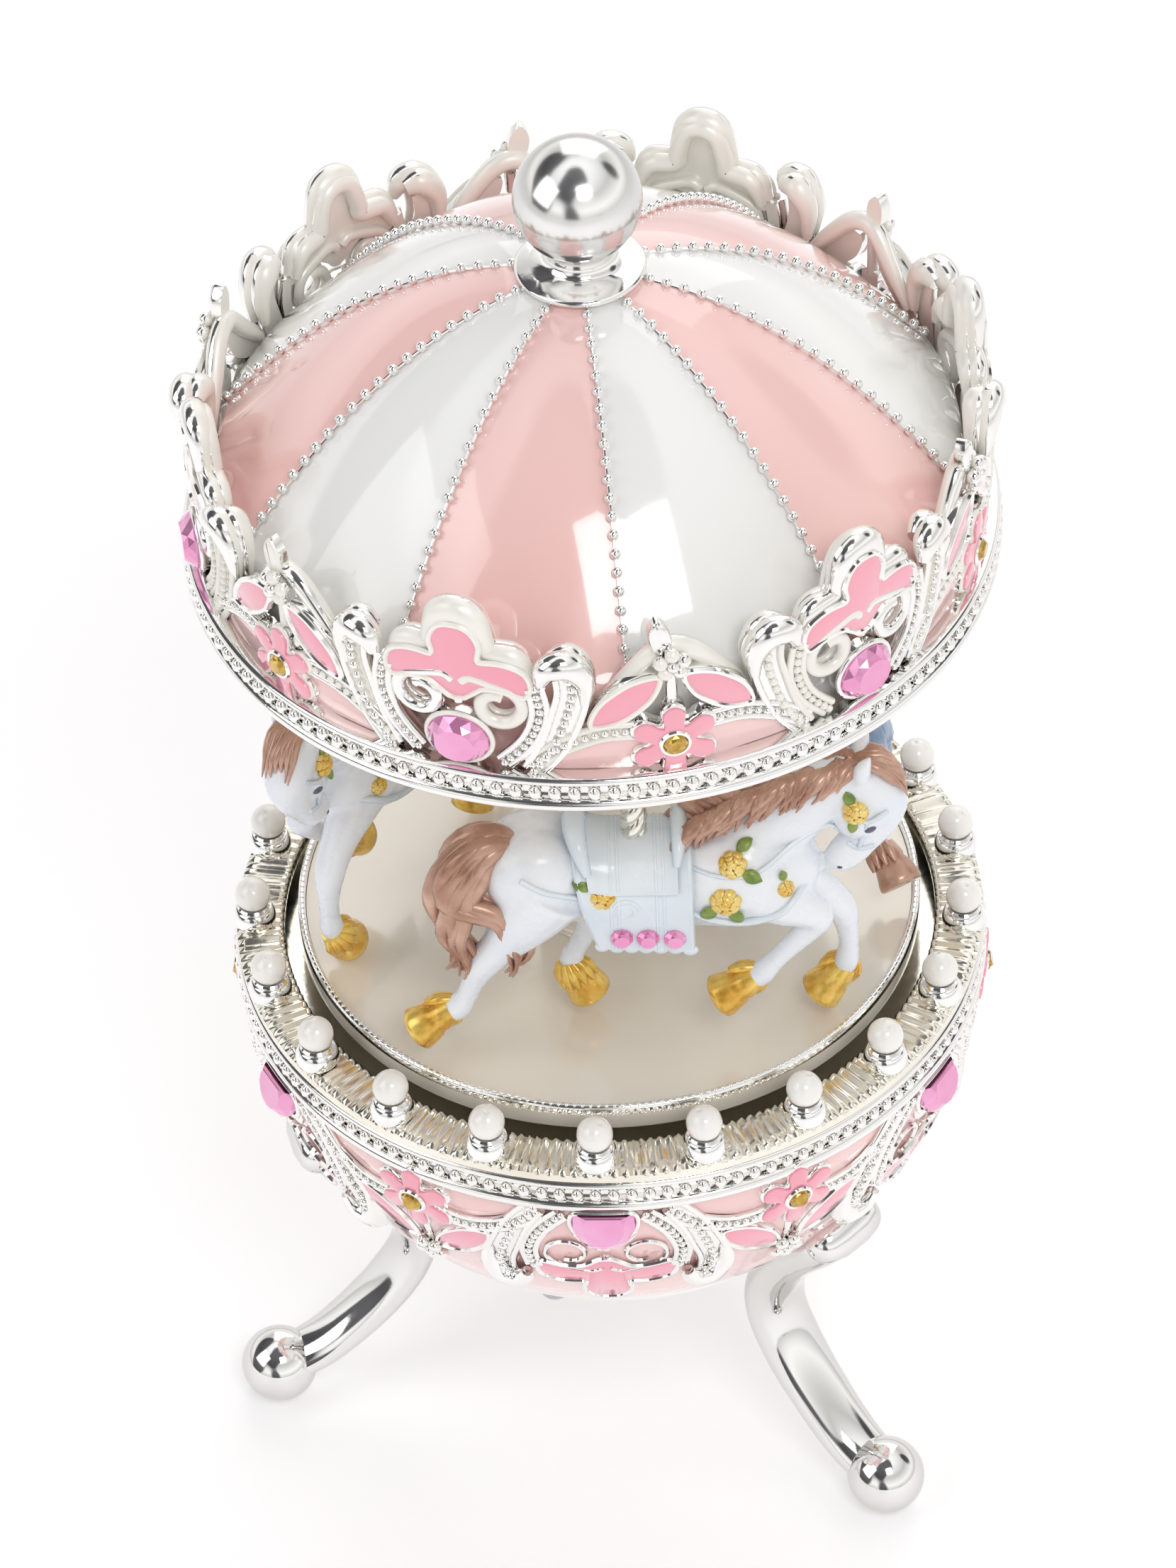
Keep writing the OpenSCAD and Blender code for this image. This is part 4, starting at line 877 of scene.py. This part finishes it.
# ---------------------------------------------------------------- dome, ribs, finial
GORE_STEPS = 12
outline = [(DOME_R, CEILING_Z + 1.4), (DOME_R, SKIRT_TOP - 4)]
radii = [DOME_R * (1 - (k / 26) ** 1.25) for k in range(26)] + [0.0]
outline += [(r, dome_height(r) - 0.02) for r in radii]
skin = turned(outline, GORES * GORE_STEPS, start=RIB_AZ)
for v in skin.verts:
    r = v.co.to_2d().length
    if r > 3 and v.co.z > SKIRT_TOP - 4.1:
        a = (math.atan2(v.co.y, v.co.x) - RIB_AZ) / TURN * GORES
        across = abs(math.sin(math.pi * a))
        rise = min(1.0, (r - 3) / 18)
        v.co.z -= 0.55 * (1 - across ** 0.7) * rise * (1 if r < DOME_R - 0.1 else 0)
for face in skin.faces:
    c = face.calc_center_median()
    a = (math.atan2(c.y, c.x) - RIB_AZ) / TURN * GORES
    face.material_index = int(math.floor(a % GORES)) % 2
add_piece(skin, "dome_skin", "carousel", [dome_white, dome_pink], ["canopy_dome"], sharp=70)

bm = bmesh.new()
for g in range(GORES):
    a = RIB_AZ + TURN * g / GORES
    line = [(r, dome_height(r) - 0.12) for r in (DOME_R * (1 - 0.94 * t / 24) for t in range(25)) if r > 5.4]
    line = [(DOME_R + 0.1, SKIRT_TOP - 3.6), (DOME_R + 0.05, SKIRT_TOP - 1.8)] + line
    path = [(r * math.cos(a), r * math.sin(a), z) for r, z in line]
    add_rod(bm, path, 0.15, 1, 1)
    for p in along(path, 1.85):
        out = Vector((p.x, p.y, 0)).normalized() * 0.3 + UP * 0.34
        add_ball(bm, p + out * 0.55, 0.6, BEAD)
add_piece(bm, "dome_bead_ribs", "carousel", bright_silver, ["dome_ribs"])

bm = turned([(0.0, DOME_TOP - 1.6), (3.0, DOME_TOP - 1.6), (5.8, DOME_TOP - 0.7), (6.5, DOME_TOP - 0.1)]
            + arc(6.5, DOME_TOP + 0.35, 0.36, -80, 90, 5)
            + [(5.4, DOME_TOP + 0.95), (4.2, DOME_TOP + 1.2), (3.55, DOME_TOP + 1.7), (3.4, DOME_TOP + 2.4),
               (3.5, DOME_TOP + 3.1), (4.3, DOME_TOP + 3.9), (0.0, DOME_TOP + 3.9)], 96)
add_piece(bm, "finial_foot", "carousel", silver, ["finial_collar"], sharp=50)
bm = bmesh.new()
bmesh.ops.create_uvsphere(bm, u_segments=96, v_segments=64, radius=BALL_R)
bmesh.ops.bisect_plane(bm, geom=bm.verts[:] + bm.edges[:] + bm.faces[:], plane_co=(0, 0, -BALL_R + 1.0),
                       plane_no=(0, 0, -1), clear_outer=True)
bmesh.ops.holes_fill(bm, edges=[e for e in bm.edges if e.is_boundary])
bmesh.ops.translate(bm, vec=(0, 0, BALL_Z), verts=bm.verts)
add_piece(bm, "finial_globe", "carousel", satin_ball, ["finial_ball"], sharp=60)

bm = band(CANOPY_Z, BAND_H, CANOPY_R + 0.65, CANOPY_R - 2.0)
bead_row(bm, CANOPY_R + 0.5, CANOPY_Z + 2.45, BEADS_ROUND, 0.74, squash=(0.9, 0.95, 1.15))
add_piece(bm, "canopy_bead_row", "carousel", silver, ["canopy_bead_band"])


# ---------------------------------------------------------------- horses, drawn facing +x with the pole at x = 0
# z is the height over the turning floor; the near side is -y.
HORSE_TURN = math.radians(8)
BARREL = [(-16.0, 26.4, 3.2), (-13.0, 25.4, 5.0), (-9.0, 24.4, 5.4), (-3.0, 22.8, 5.4), (4.0, 22.6, 5.6),
          (10.5, 23.6, 6.8), (15.0, 24.2, 5.6), (18.0, 23.6, 3.4)]
FLAT = 0.9


def barrel_at(x):
    """Height of the middle and radius of the horse's barrel at x."""
    for (x0, z0, r0), (x1, z1, r1) in zip(BARREL, BARREL[1:]):
        if x <= x1:
            t = max(0.0, (x - x0) / (x1 - x0))
            return z0 + (z1 - z0) * t, r0 + (r1 - r0) * t
    return BARREL[-1][1:]


def round_barrel(x, angle, out=0.0):
    """A point on the barrel; past the side, where cloth would hang, it runs straight down."""
    z, r = barrel_at(x)
    a = math.radians(angle)
    if abs(angle) <= 90:
        return (x, -(r * FLAT + out) * math.sin(a), z + (r + out) * math.cos(a))
    return (x, -(r * FLAT + out) * math.copysign(1, a), z - r * (abs(a) - math.pi / 2))


def limb(bm, points, flat=1.0):
    """A leg or neck from (x, y, z, radius) points, flattened across."""
    first = len(bm.verts)
    add_rod(bm, [p[:3] for p in points], [p[3] for p in points], 6, 5)
    middle = points[0][1]
    bm.verts.ensure_lookup_table()
    for v in bm.verts[first:]:
        v.co.y = middle + (v.co.y - middle) * flat if flat != 1.0 else v.co.y


NEAR_FORE = [(12.5, -2.4, 23.4, 3.8), (15.8, -3.2, 21.4, 2.9), (18.2, -3.5, 20.2, 2.1), (19.4, -3.5,
        19.0, 1.8),
             (17.9, -3.5, 16.6, 1.4), (15.2, -3.5, 13.3, 1.15), (13.3, -3.5, 10.9, 1.4), (12.1, -3.5,
                     9.9, 1.2)]
FAR_FORE = [(13.8, 1.8, 23.6, 3.8), (17.2, 1.7, 21.0, 2.8), (20.2, 1.5, 18.2, 2.0), (22.2, 1.4, 15.4, 1.75),
            (22.8, 1.4, 12.2, 1.25), (22.9, 1.4, 9.6, 1.15), (22.7, 1.4, 7.6, 1.4), (22.3, 1.4, 6.2, 1.2)]
NEAR_REAR = [(-9.5, -2.2, 24.0, 4.9), (-12.2, -3.0, 20.2, 3.7), (-14.8, -3.4, 16.6, 2.3), (-16.8, -3.5,
        14.0, 1.85),
             (-17.9, -3.5, 11.6, 1.35), (-18.8, -3.5, 9.2, 1.2), (-19.8, -3.5, 7.6, 1.5), (-21.0, -3.5,
                     6.9, 1.25)]
FAR_REAR = [(-9.0, 2.4, 23.6, 4.7), (-8.2, 3.0, 19.4, 3.4), (-6.0, 3.0, 16.4, 2.2), (-5.0, 3.0, 14.4, 1.8),
            (-5.6, 3.0, 11.9, 1.3), (-6.7, 3.0, 9.4, 1.15), (-7.3, 3.0, 7.8, 1.4), (-7.2, 3.0, 6.6, 1.2)]
HOOVES = [(NEAR_FORE, (8.2, -3.5, 7.2)), (FAR_FORE, (20.0, 1.4, 3.2)), (NEAR_REAR, (-24.6, -3.5, 4.2)),
          (FAR_REAR, (-5.6, 3.0, 3.0))]


def horse_shape():
    bm = bmesh.new()
    limb(bm, [(x, 0, z, r) for x, z, r in BARREL], FLAT)
    for s in (-1, 1):
        add_ball(bm, (-10.6, s * 1.7, 25.2), 5.0, ROUND, (1.15, 0.85, 1.1))
        add_ball(bm, (11.6, s * 1.8, 24.2), 4.9, ROUND, (1.0, 0.85, 1.15))
    add_ball(bm, (15.8, 0, 24.0), 4.4, ROUND, (0.95, 1.0, 1.1))
    limb(bm, [(11.0, 0, 25.6, 5.2), (14.4, 0, 28.8, 4.6), (17.6, 0, 32.2, 4.0), (20.6, 0, 35.0, 3.5),
              (23.6, 0, 36.0, 3.0)], 0.7)
    limb(bm, [(23.2, 0, 35.6, 2.8), (25.2, 0, 35.0, 3.1), (26.3, 0, 32.8, 3.15), (25.7, 0, 30.0, 2.7),
              (24.2, 0, 27.2, 2.2), (22.6, 0, 25.0, 2.1), (21.3, 0, 23.8, 1.6)], 0.84)
    for s in (-1, 1):
        add_ball(bm, (24.0, s * 1.2, 31.6), 2.7, ROUND, (1.0, 0.7, 1.15))
        add_ball(bm, (25.2, s * 2.1, 30.9), 0.9, ROUND, (0.9, 0.6, 0.7))
        add_ball(bm, (22.0, s * 1.25, 24.4), 0.75, ROUND, (1.0, 0.7, 1.0))
        add_rod(bm, [(24.2, s * 1.4, 37.0), (24.5, s * 1.9, 39.0), (25.4, s * 2.1, 41.0)], [1.1, 0.95,
                0.15], 4, 4)
    add_ball(bm, (20.8, 0, 23.6), 1.0, ROUND, (0.9, 1.2, 0.6))
    for line in (NEAR_FORE, FAR_FORE, NEAR_REAR, FAR_REAR):
        limb(bm, line)
    holder = bpy.data.objects.new("clay", as_mesh(bm))
    bpy.context.scene.collection.objects.link(holder)
    merge = holder.modifiers.new("merge", "REMESH")
    merge.mode, merge.voxel_size = "VOXEL", 0.32
    drawn = bpy.context.evaluated_depsgraph_get()
    shape = bpy.data.meshes.new_from_object(holder.evaluated_get(drawn))
    bpy.data.objects.remove(holder)
    bm = bmesh.new()
    bm.from_mesh(shape)
    for k in range(5):
        bmesh.ops.smooth_vert(bm, verts=bm.verts, factor=0.5, use_axis_x=True, use_axis_y=True,
                              use_axis_z=True)
    return bm


clay = horse_shape()
clay_tree = BVHTree.FromBMesh(clay)
horse_mesh = as_mesh(clay, "horse")


def seat(x, z, side, out=0.0):
    """The place and outward direction on the horse's side at x, z; side -1 is the near side."""
    hit, normal, _, _ = clay_tree.ray_cast(Vector((x, side * 30, z)), Vector((0, -side, 0)))
    if hit is None:
        hit, normal = Vector((x, side * 3, z)), Vector((0, side, 0))
    return hit + normal * out, normal


def seated(x, z, side, out=0.0, turn=0.0):
    hit, normal = seat(x, z, side, out)
    return Matrix.Translation(hit) @ normal.to_track_quat("Z",
                                                          "Y").to_matrix().to_4x4() @ Matrix.Rotation(turn, 4, "Z")


def hoof_mesh():
    bm = turned([(0.0, -0.8), (1.1, -0.8), (1.35, 0.0), (1.5, 0.6), (1.42, 0.95), (1.75, 1.5), (2.05, 2.8),
                 (2.1, 3.3), (1.9, 3.5), (1.2, 3.4), (0.0, 3.3)], 28)
    for i in range(7):
        a = math.radians(100) + math.radians(160) * i / 6
        add_rod(bm, [(0.9 * math.cos(a), 0.9 * math.sin(a), -1.3), (1.55 * math.cos(a),
                                                                    1.55 * math.sin(a), -0.1),
                     (1.9 * math.cos(a), 1.9 * math.sin(a), 1.3)], [0.3, 0.5, 0.12], 2, 4)
    return as_mesh(bm)


HOOF_SCALE = 1.18


def hoof_set():
    bm = bmesh.new()
    one = hoof_mesh()
    for line, tip in HOOVES:
        start = Vector(line[-1][:3])
        way = (Vector(tip) - start).normalized()
        stamp(bm, one, Matrix.Translation(start + way * 0.2) @ way.to_track_quat("Z",
                "Y").to_matrix().to_4x4()
              @ Matrix.Scale(HOOF_SCALE, 4))
    return as_mesh(bm)


def lock(bm, points, thick, waves, sway, phase):
    """A wavy lock of hair that tapers to its tip."""
    line = along(points, 0.9)
    n = len(line) - 1
    path, radii = [], []
    for k, p in enumerate(line):
        d = (line[min(k + 1, n)] - line[max(k - 1, 0)]).normalized()
        side = d.cross(Vector((0, 1, 0))).normalized()
        t = k / max(n, 1)
        path.append(p + side * sway * math.sin(phase + waves * TURN * t) * min(1, 3 * t)
                    + Vector((0, 0.35 * sway * math.cos(phase + waves * TURN * t), 0)))
        radii.append(thick * (0.55 + 0.6 * math.sin(math.pi * min(1,
                                                                  t * 1.15 + 0.12))) * (1 - 0.75 * max(0, t - 0.7) / 0.3))
    add_rod(bm, path, radii, 2, 1)


def hair():
    bm = bmesh.new()
    draw = random.Random(5)
    for k in range(40):
        t = k / 39
        y = draw.uniform(-2.6, 0.6)
        if k % 2:
            end = [(-15.6 + 2.2 * t, y - 2.6, 21.6), (-14.0 + 2.4 * t, y - 3.4, 17.6), (-14.0 + 1.8 * t,
                    y - 3.2, 14.6),
                   (-14.6 + 1.0 * t, y - 3.0, 13.2)]
        else:
            end = [(-21.2 + 2.4 * t, y - 1.6, 18.4), (-20.0 + 2.6 * t, y - 1.8, 14.6), (-20.8 + 3.4 * t,
                    y - 1.6, 11.6)]
        root = [(-12.4, y * 0.3, 28.4), (-15.6 + 1.0 * t, y * 0.6 - 0.4, 30.2 - 1.4 * t),
                (-19.6 + 3.0 * t, y - 0.8, 28.2 - 1.6 * t), (-21.2 + 3.4 * t, y - 1.4, 23.6)]
        lock(bm, root + end, draw.uniform(0.9, 1.3), draw.uniform(1.2, 2.0), draw.uniform(0.3, 0.6),
             draw.uniform(0, TURN))
    for k in range(34):
        t = k / 33
        root = Vector((6.6 + 17.4 * t, 0.2, 29.4 + 8.2 * t + 1.2 * math.sin(math.pi * t)))
        for s in (-1, 1):
            if s > 0 and k % 2:
                continue
            reach = draw.uniform(3.6, 5.4) * (1 - 0.35 * t)
            lock(bm, [root + Vector((0.8, 0, -0.4)), root + Vector((-0.6, s * 1.0, 0.9)),
                      root + Vector((-0.5 * reach, s * 2.2, 0.1)), root + Vector((-0.8 * reach, s * 3.0,
                              -0.34 * reach)),
                      root + Vector((-1.0 * reach, s * 3.1, -0.75 * reach))],
                 draw.uniform(0.65, 0.95), draw.uniform(0.8, 1.5), draw.uniform(0.2, 0.45),
                 draw.uniform(0, TURN))
    for k in range(7):
        y = -1.2 + 0.4 * k
        lock(bm, [(23.6, y, 38.2), (25.8, y * 1.2, 38.6), (28.2, y * 1.4, 36.8), (29.0, y * 1.3, 34.2)],
             0.55, 1.2, 0.3, k)
    return as_mesh(bm)


HEM = 146            # how far down the blanket reaches, in degrees round the barrel
SEAT_HEM = 66        # the same for the saddle's own skirt
CLOTH_FRONT, CLOTH_REAR, CLOTH_SLANT = 5.8, -6.6, 2.6


def cloth(low, high, front, rear, out):
    """A padded sheet over the barrel, its hem rounded in towards the front."""
    bm = bmesh.new()
    bmesh.ops.create_grid(bm, x_segments=14, y_segments=48, size=1.0)
    for v in bm.verts:
        angle = low + (high - low) * (v.co.y + 1) / 2
        back = rear + CLOTH_SLANT * (angle / HEM) ** 2
        v.co = round_barrel(back + (front - back) * (v.co.x + 1) / 2, angle, out)
    bmesh.ops.recalc_face_normals(bm, faces=bm.faces)
    bmesh.ops.solidify(bm, geom=bm.faces[:], thickness=0.35)
    bmesh.ops.recalc_face_normals(bm, faces=bm.faces)
    return as_mesh(bm, "cloth")


def saddle_mesh():
    bm = bmesh.new()
    for low, high, front, rear, out in ((-HEM, HEM, CLOTH_FRONT, CLOTH_REAR, 0.6),
                                         (-SEAT_HEM, SEAT_HEM, 4.6, -5.6, 1.15)):
        stamp(bm, cloth(low, high, front, rear, out), Matrix.Identity(4))
    for x in (-2.7, -1.9, 2.2, 3.0):
        add_rod(bm, [round_barrel(x, a, 1.35 if abs(a) < SEAT_HEM else 0.8) for a in range(-HEM,
                HEM + 1, 4)], 0.24, 1, 1)
    for x, slant in ((CLOTH_FRONT, 0), (CLOTH_REAR, CLOTH_SLANT)):
        edge = [round_barrel(x + slant * (a / HEM) ** 2, a, 0.62) for a in range(-HEM, HEM + 1, 4)]
        add_rod(bm, edge, 0.36, 1, 1)
    cantle = [(-4.9 - 1.5 * math.cos(math.radians(a * 1.3)), -5.6 * math.sin(math.radians(a)),
               25.2 + 6.2 * math.cos(math.radians(a))) for a in range(-64, 65, 8)]
    n = len(cantle) - 1
    add_rod(bm, cantle, [0.5 + 0.8 * math.sin(math.pi * k / n) for k in range(n + 1)], 4, 2)
    pommel = [(4.2 + 0.7 * math.cos(math.radians(a * 1.3)), -5.4 * math.sin(math.radians(a)),
               24.8 + 5.6 * math.cos(math.radians(a))) for a in range(-54, 55, 9)]
    n = len(pommel) - 1
    add_rod(bm, pommel, [0.4 + 0.6 * math.sin(math.pi * k / n) for k in range(n + 1)], 4, 2)
    for s in (-1, 1):
        swirl = [round_barrel(-1.2 + (1.6 - 0.05 * k) * math.cos(k * 0.5),
                              s * (86 - (13 - 0.4 * k) * math.sin(k * 0.5)), 0.8)
                 for k in range(20)]
        add_rod(bm, swirl, 0.26, 1, 2)
        for k in range(7):
            add_ball(bm, round_barrel(-3.8 + 9.4 * k / 6, s * HEM, 0.6), 0.8, ROUND, (1.1, 0.5, 0.9))
        strap = [seat(x, z, s, 0.15)[0] for x, z in ((5.2, 22.6), (7.6, 21.4), (10.4, 20.8), (13.2,
                21.2), (15.6, 22.4), (17.4, 23.6))]
        strap.append(Vector((19.4, 0, 24.0)))
        add_rod(bm, strap, [0.35, 0.42, 0.45, 0.45, 0.42, 0.4, 0.4], 3, 4)
        rein = [seat(x, z, s, 0.12)[0] for x, z in ((5.0, 27.4), (9.0, 27.0), (13.0, 27.4), (17.0,
                29.6), (20.6, 30.6), (22.6, 28.6))]
        add_rod(bm, rein, 0.26, 2, 4)
        crupper = [seat(x, z, s, 0.12)[0] for x, z in ((-6.4, 24.6), (-9.6, 26.4), (-12.2, 27.8))]
        add_rod(bm, crupper, 0.32, 2, 4)
        for line in (((27.0, 33.4), (24.8, 32.2), (22.6, 33.2)), ((25.6, 27.8), (24.0, 27.4), (22.9, 27.8)),
                     ((24.8, 32.2), (24.0, 27.4))):
            add_rod(bm, [seat(x, z, s, 0.1)[0] for x, z in line], 0.26, 2, 4)
    return as_mesh(bm)


def rose_mesh():
    bm = bmesh.new()
    add_ball(bm, (0, 0, 0.55), 0.5, BEAD)
    for ring, (count, r, size, z) in enumerate(((3, 0.42, 0.42, 0.66), (5, 0.85, 0.5, 0.45), (7, 1.25,
            0.52, 0.12))):
        for i in range(count):
            a = TURN * (i + 0.35 * ring) / count
            turn = Matrix.Rotation(a, 4, "Z") @ Matrix.Rotation(math.radians(-38), 4, "Y")
            add_ball(bm, (r * math.cos(a), r * math.sin(a), z), size, BEAD, (0.45, 1.15, 1.05), None, turn)
    return as_mesh(bm)


def leaf_mesh():
    bm = bmesh.new()
    add_rod(bm, [(0, 0, 0), (0.7, 0, 0.3), (1.5, 0, 0.35), (2.2, 0, 0.1)], [0.2, 0.75, 0.65, 0.05], 3, 4)
    bmesh.ops.scale(bm, vec=(1, 1, 0.45), verts=bm.verts)
    return as_mesh(bm)


ROSES = [(-3.6, 24.8, 1.2), (10.4, 28.2, 1.0), (9.5, 24.1, 1.1), (16.0, 24.5, 0.65), (23.6, 33.4, 0.9)]
LEAVES = [(-3.6, 24.8, 150, 1.4), (-3.6, 24.8, 20, 1.5), (10.4, 28.2, 60, 1.2), (10.4, 28.2, -30, 1.3),
          (9.5, 24.1, -140, 1.3),
          (9.5, 24.1, -60, 1.3), (23.6, 33.4, 110, 1.1), (23.6, 33.4, -100, 0.9), (16.0, 24.5, 100, 0.8)]


def trimmings():
    roses, leaves, stones, dark = (bmesh.new() for _ in range(4))
    rose, leaf, stone = rose_mesh(), leaf_mesh(), gem(2.5, 2.5, 0.9, 10)
    for s in (-1, 1):
        for x, z, size in ROSES:
            out = 0.45 if x < 6 else 0.1
            stamp(roses, rose, seated(x, z, s, out, x) @ Matrix.Scale(size, 4))
        for x, z, angle, size in LEAVES:
            a = math.radians(angle)
            far = 1.1 * (1.1 if x < 20 else 0.8)
            px, pz = x + far * math.cos(a), z + far * math.sin(a)
            hit, normal = seat(px, pz, s, 0.5 if x < 6 else 0.15)
            way = Vector((math.cos(a), 0, math.sin(a)))
            way = (way - normal * way.dot(normal)).normalized()
            across = normal.cross(way)
            turn = Matrix((way, across, normal)).transposed().to_4x4()
            stamp(leaves, leaf, Matrix.Translation(hit) @ turn @ Matrix.Scale(size * 0.8, 4))
        for x in (-1.7, 1.1, 4.0):
            place = Vector(round_barrel(x, s * 126, 0.9))
            normal = Vector((0, place.y, 0)).normalized()
            stamp(stones, stone, Matrix.Translation(place) @ normal.to_track_quat("Z",
                    "Y").to_matrix().to_4x4())
        stamp(dark, ROUND, seated(25.2, 30.9, s, -0.05) @ Matrix.Diagonal((0.68, 0.46, 0.3, 1)))
        stamp(dark, ROUND, seated(21.9, 24.4, s, -0.1) @ Matrix.Diagonal((0.32, 0.24, 0.2, 1)))
    return as_mesh(roses), as_mesh(leaves), as_mesh(stones), as_mesh(dark)


rose_part, leaf_part, stone_part, dark_part = trimmings()
hair_part, saddle_part, hoof_part = hair(), saddle_mesh(), hoof_set()


def at_horse(azimuth):
    return Matrix.Rotation(azimuth, 4, "Z") @ Matrix.Translation((HORSE_RING_R, 0, FLOOR_TOP)) \
        @ Matrix.Rotation(math.radians(90) - HORSE_TURN, 4, "Z")


def placed(mesh, places):
    bm = bmesh.new()
    for place in places:
        stamp(bm, mesh, place)
    return bm


places = [at_horse(a) for a in HORSE_AZ]
for i, place in enumerate(places):
    add_piece(placed(horse_mesh, [place]), "white_horse_%d" % (i + 1), "carousel", horse_paint,
              ["horse_%d" % (i + 1)], sharp=180)
    add_piece(placed(hair_part, [place]), "mane_and_tail_%d" % (i + 1), "carousel",
              blue_paint if i == 1 else bronze_paint,
              ["mane_tail_%d" % (i + 1)], sharp=60)
add_piece(placed(saddle_part, places), "saddles_and_straps", "carousel", saddle_paint, ["saddles"],
          sharp=50)
add_piece(placed(stone_part, places), "saddle_hem_stones", "carousel", pink_gem, ["saddle_stones"],
          sharp=1)
add_piece(placed(hoof_part, places[::2]), "gold_hooves", "carousel", gold_paint, ["hooves"],
          sharp=60)
add_piece(placed(hoof_part, places[1:2]), "brown_hooves", "carousel", bronze_paint, [],
          sharp=60)
add_piece(placed(rose_part, places), "harness_roses", "carousel", rose_paint, ["rose_trim"],
          sharp=60)
add_piece(placed(leaf_part, places), "harness_leaves", "carousel", leaf_paint, [], sharp=60)
add_piece(placed(dark_part, places), "eyes_and_nostrils", "carousel", dark_paint, [], sharp=80)


# ---------------------------------------------------------------- finishes of the solids that stay
KEPT = {
    silver: ["bottom_cover"], warm_silver: ["deck_plate"], steel: ["leg_screws", "cover_screws",
                                                                   "tone_comb", "comb_screws",
                                      "spindle", "mainspring"],
    brass: ["movement_bedplate", "cylinder_brackets", "comb_block", "spindle_gear", "barrel_wheel",
            "music_cylinder", "governor_wheel", "governor_fan", "winding_key"],
}
for mat, names in KEPT.items():
    for name in names:
        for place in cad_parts[name].material_slots:
            place.material = mat


# ---------------------------------------------------------------- floor, light, camera
def lamp(name, energy, size, where, aim, color=(1, 1, 1), width=None):
    light = bpy.data.lights.new(name, "AREA")
    light.energy, light.size, light.color = energy, size, color
    if width:
        light.shape, light.size_y = "RECTANGLE", width
    holder = bpy.data.objects.new(name, light)
    holder.location = where
    holder.rotation_euler = (Vector(aim) - Vector(where)).to_track_quat("-Z", "Y").to_euler()
    bpy.context.scene.collection.objects.link(holder)
    return holder


bm = bmesh.new()
bmesh.ops.create_grid(bm, x_segments=2, y_segments=2, size=30.0)
mesh = bpy.data.meshes.new("studio_floor")
bm.to_mesh(mesh)
bm.free()
ground = bpy.data.objects.new("studio_floor", mesh)
ground.data.materials.append(finish("white_paper", (0.93, 0.92, 0.93), (0.95, 0.94, 0.95),
                                    roughness=0.5, grain=60,
                                    relief=0.0, mix_scale=3, glow=0.22))
bpy.context.scene.collection.objects.link(ground)

lamp("key_light", 1.5, 0.28, (0.16, -0.52, 0.75), (0, 0, 0.1))
lamp("fill_light", 1.1, 0.5, (-0.6, -0.2, 0.5), (0, 0, 0.1))
lamp("back_light", 1.0, 0.6, (0.1, 0.6, 0.6), (0, 0, 0.1))

world = bpy.data.worlds.new("studio_white")
bpy.context.scene.world = world
world.use_nodes = True
back = world.node_tree.nodes["Background"]
back.inputs["Strength"].default_value = 1.25
sky = world.node_tree
place = sky.nodes.new("ShaderNodeTexCoord")
parts = sky.nodes.new("ShaderNodeSeparateXYZ")
sky.links.new(place.outputs["Generated"], parts.inputs["Vector"])
tent = sky.nodes.new("ShaderNodeValToRGB")
tent.color_ramp.elements[0].position, tent.color_ramp.elements[0].color = 0.0, (0.30, 0.30, 0.31, 1)
tent.color_ramp.elements[1].position, tent.color_ramp.elements[1].color = 1.0, (0.95, 0.95, 0.95, 1)
for position, tone in ((0.35, 0.42), (0.5, 0.55), (0.62, 0.9), (0.8, 0.5)):
    stop = tent.color_ramp.elements.new(position)
    stop.color = (tone, tone * 0.99, tone * 0.97, 1)
level = sky.nodes.new("ShaderNodeMapRange")
level.inputs["From Min"].default_value, level.inputs["From Max"].default_value = -1.0, 1.0
sky.links.new(parts.outputs["Z"], level.inputs["Value"])
sky.links.new(level.outputs["Result"], tent.inputs["Fac"])
ray = sky.nodes.new("ShaderNodeLightPath")
blend = sky.nodes.new("ShaderNodeMix")
blend.data_type = "RGBA"
blend.inputs["B"].default_value = (1, 1, 1, 1)
sky.links.new(ray.outputs["Is Camera Ray"], blend.inputs["Factor"])
patches = sky.nodes.new("ShaderNodeTexNoise")
patches.inputs["Scale"].default_value = 1.2
patches.inputs["Detail"].default_value = 0.0
sky.links.new(place.outputs["Generated"], patches.inputs["Vector"])
gaps = sky.nodes.new("ShaderNodeValToRGB")
gaps.color_ramp.elements[0].position, gaps.color_ramp.elements[0].color = 0.40, (0.12, 0.12, 0.13, 1)
gaps.color_ramp.elements[1].position, gaps.color_ramp.elements[1].color = 0.46, (1, 1, 1, 1)
sky.links.new(patches.outputs["Fac"], gaps.inputs["Fac"])
shade = sky.nodes.new("ShaderNodeMix")
shade.data_type, shade.blend_type = "RGBA", "MULTIPLY"
shade.inputs["Factor"].default_value = 1.0
sky.links.new(tent.outputs["Color"], shade.inputs["A"])
sky.links.new(gaps.outputs["Color"], shade.inputs["B"])
sky.links.new(shade.outputs["Result"], blend.inputs["A"])
sky.links.new(blend.outputs["Result"], back.inputs["Color"])

scene = bpy.context.scene
scene.view_settings.view_transform = "Standard"
lens = bpy.data.cameras.new("camera")
lens.sensor_width, lens.lens, lens.sensor_fit = 36.0, 152.37, "AUTO"
lens.clip_start, lens.clip_end = 0.01, 20
camera = bpy.data.objects.new("camera", lens)
right = Vector((0.9989587, -0.0295087, -0.0347951))
above = Vector((0.04556, 0.6853043, 0.7268303))
ahead = Vector((-0.0023974, 0.7276587, -0.6859352))
turn = Matrix((right, above, -ahead)).transposed().to_4x4()
camera.matrix_world = Matrix.Translation((0, -0.53363, 0.58984)) @ turn
scene.collection.objects.link(camera)
scene.camera = camera
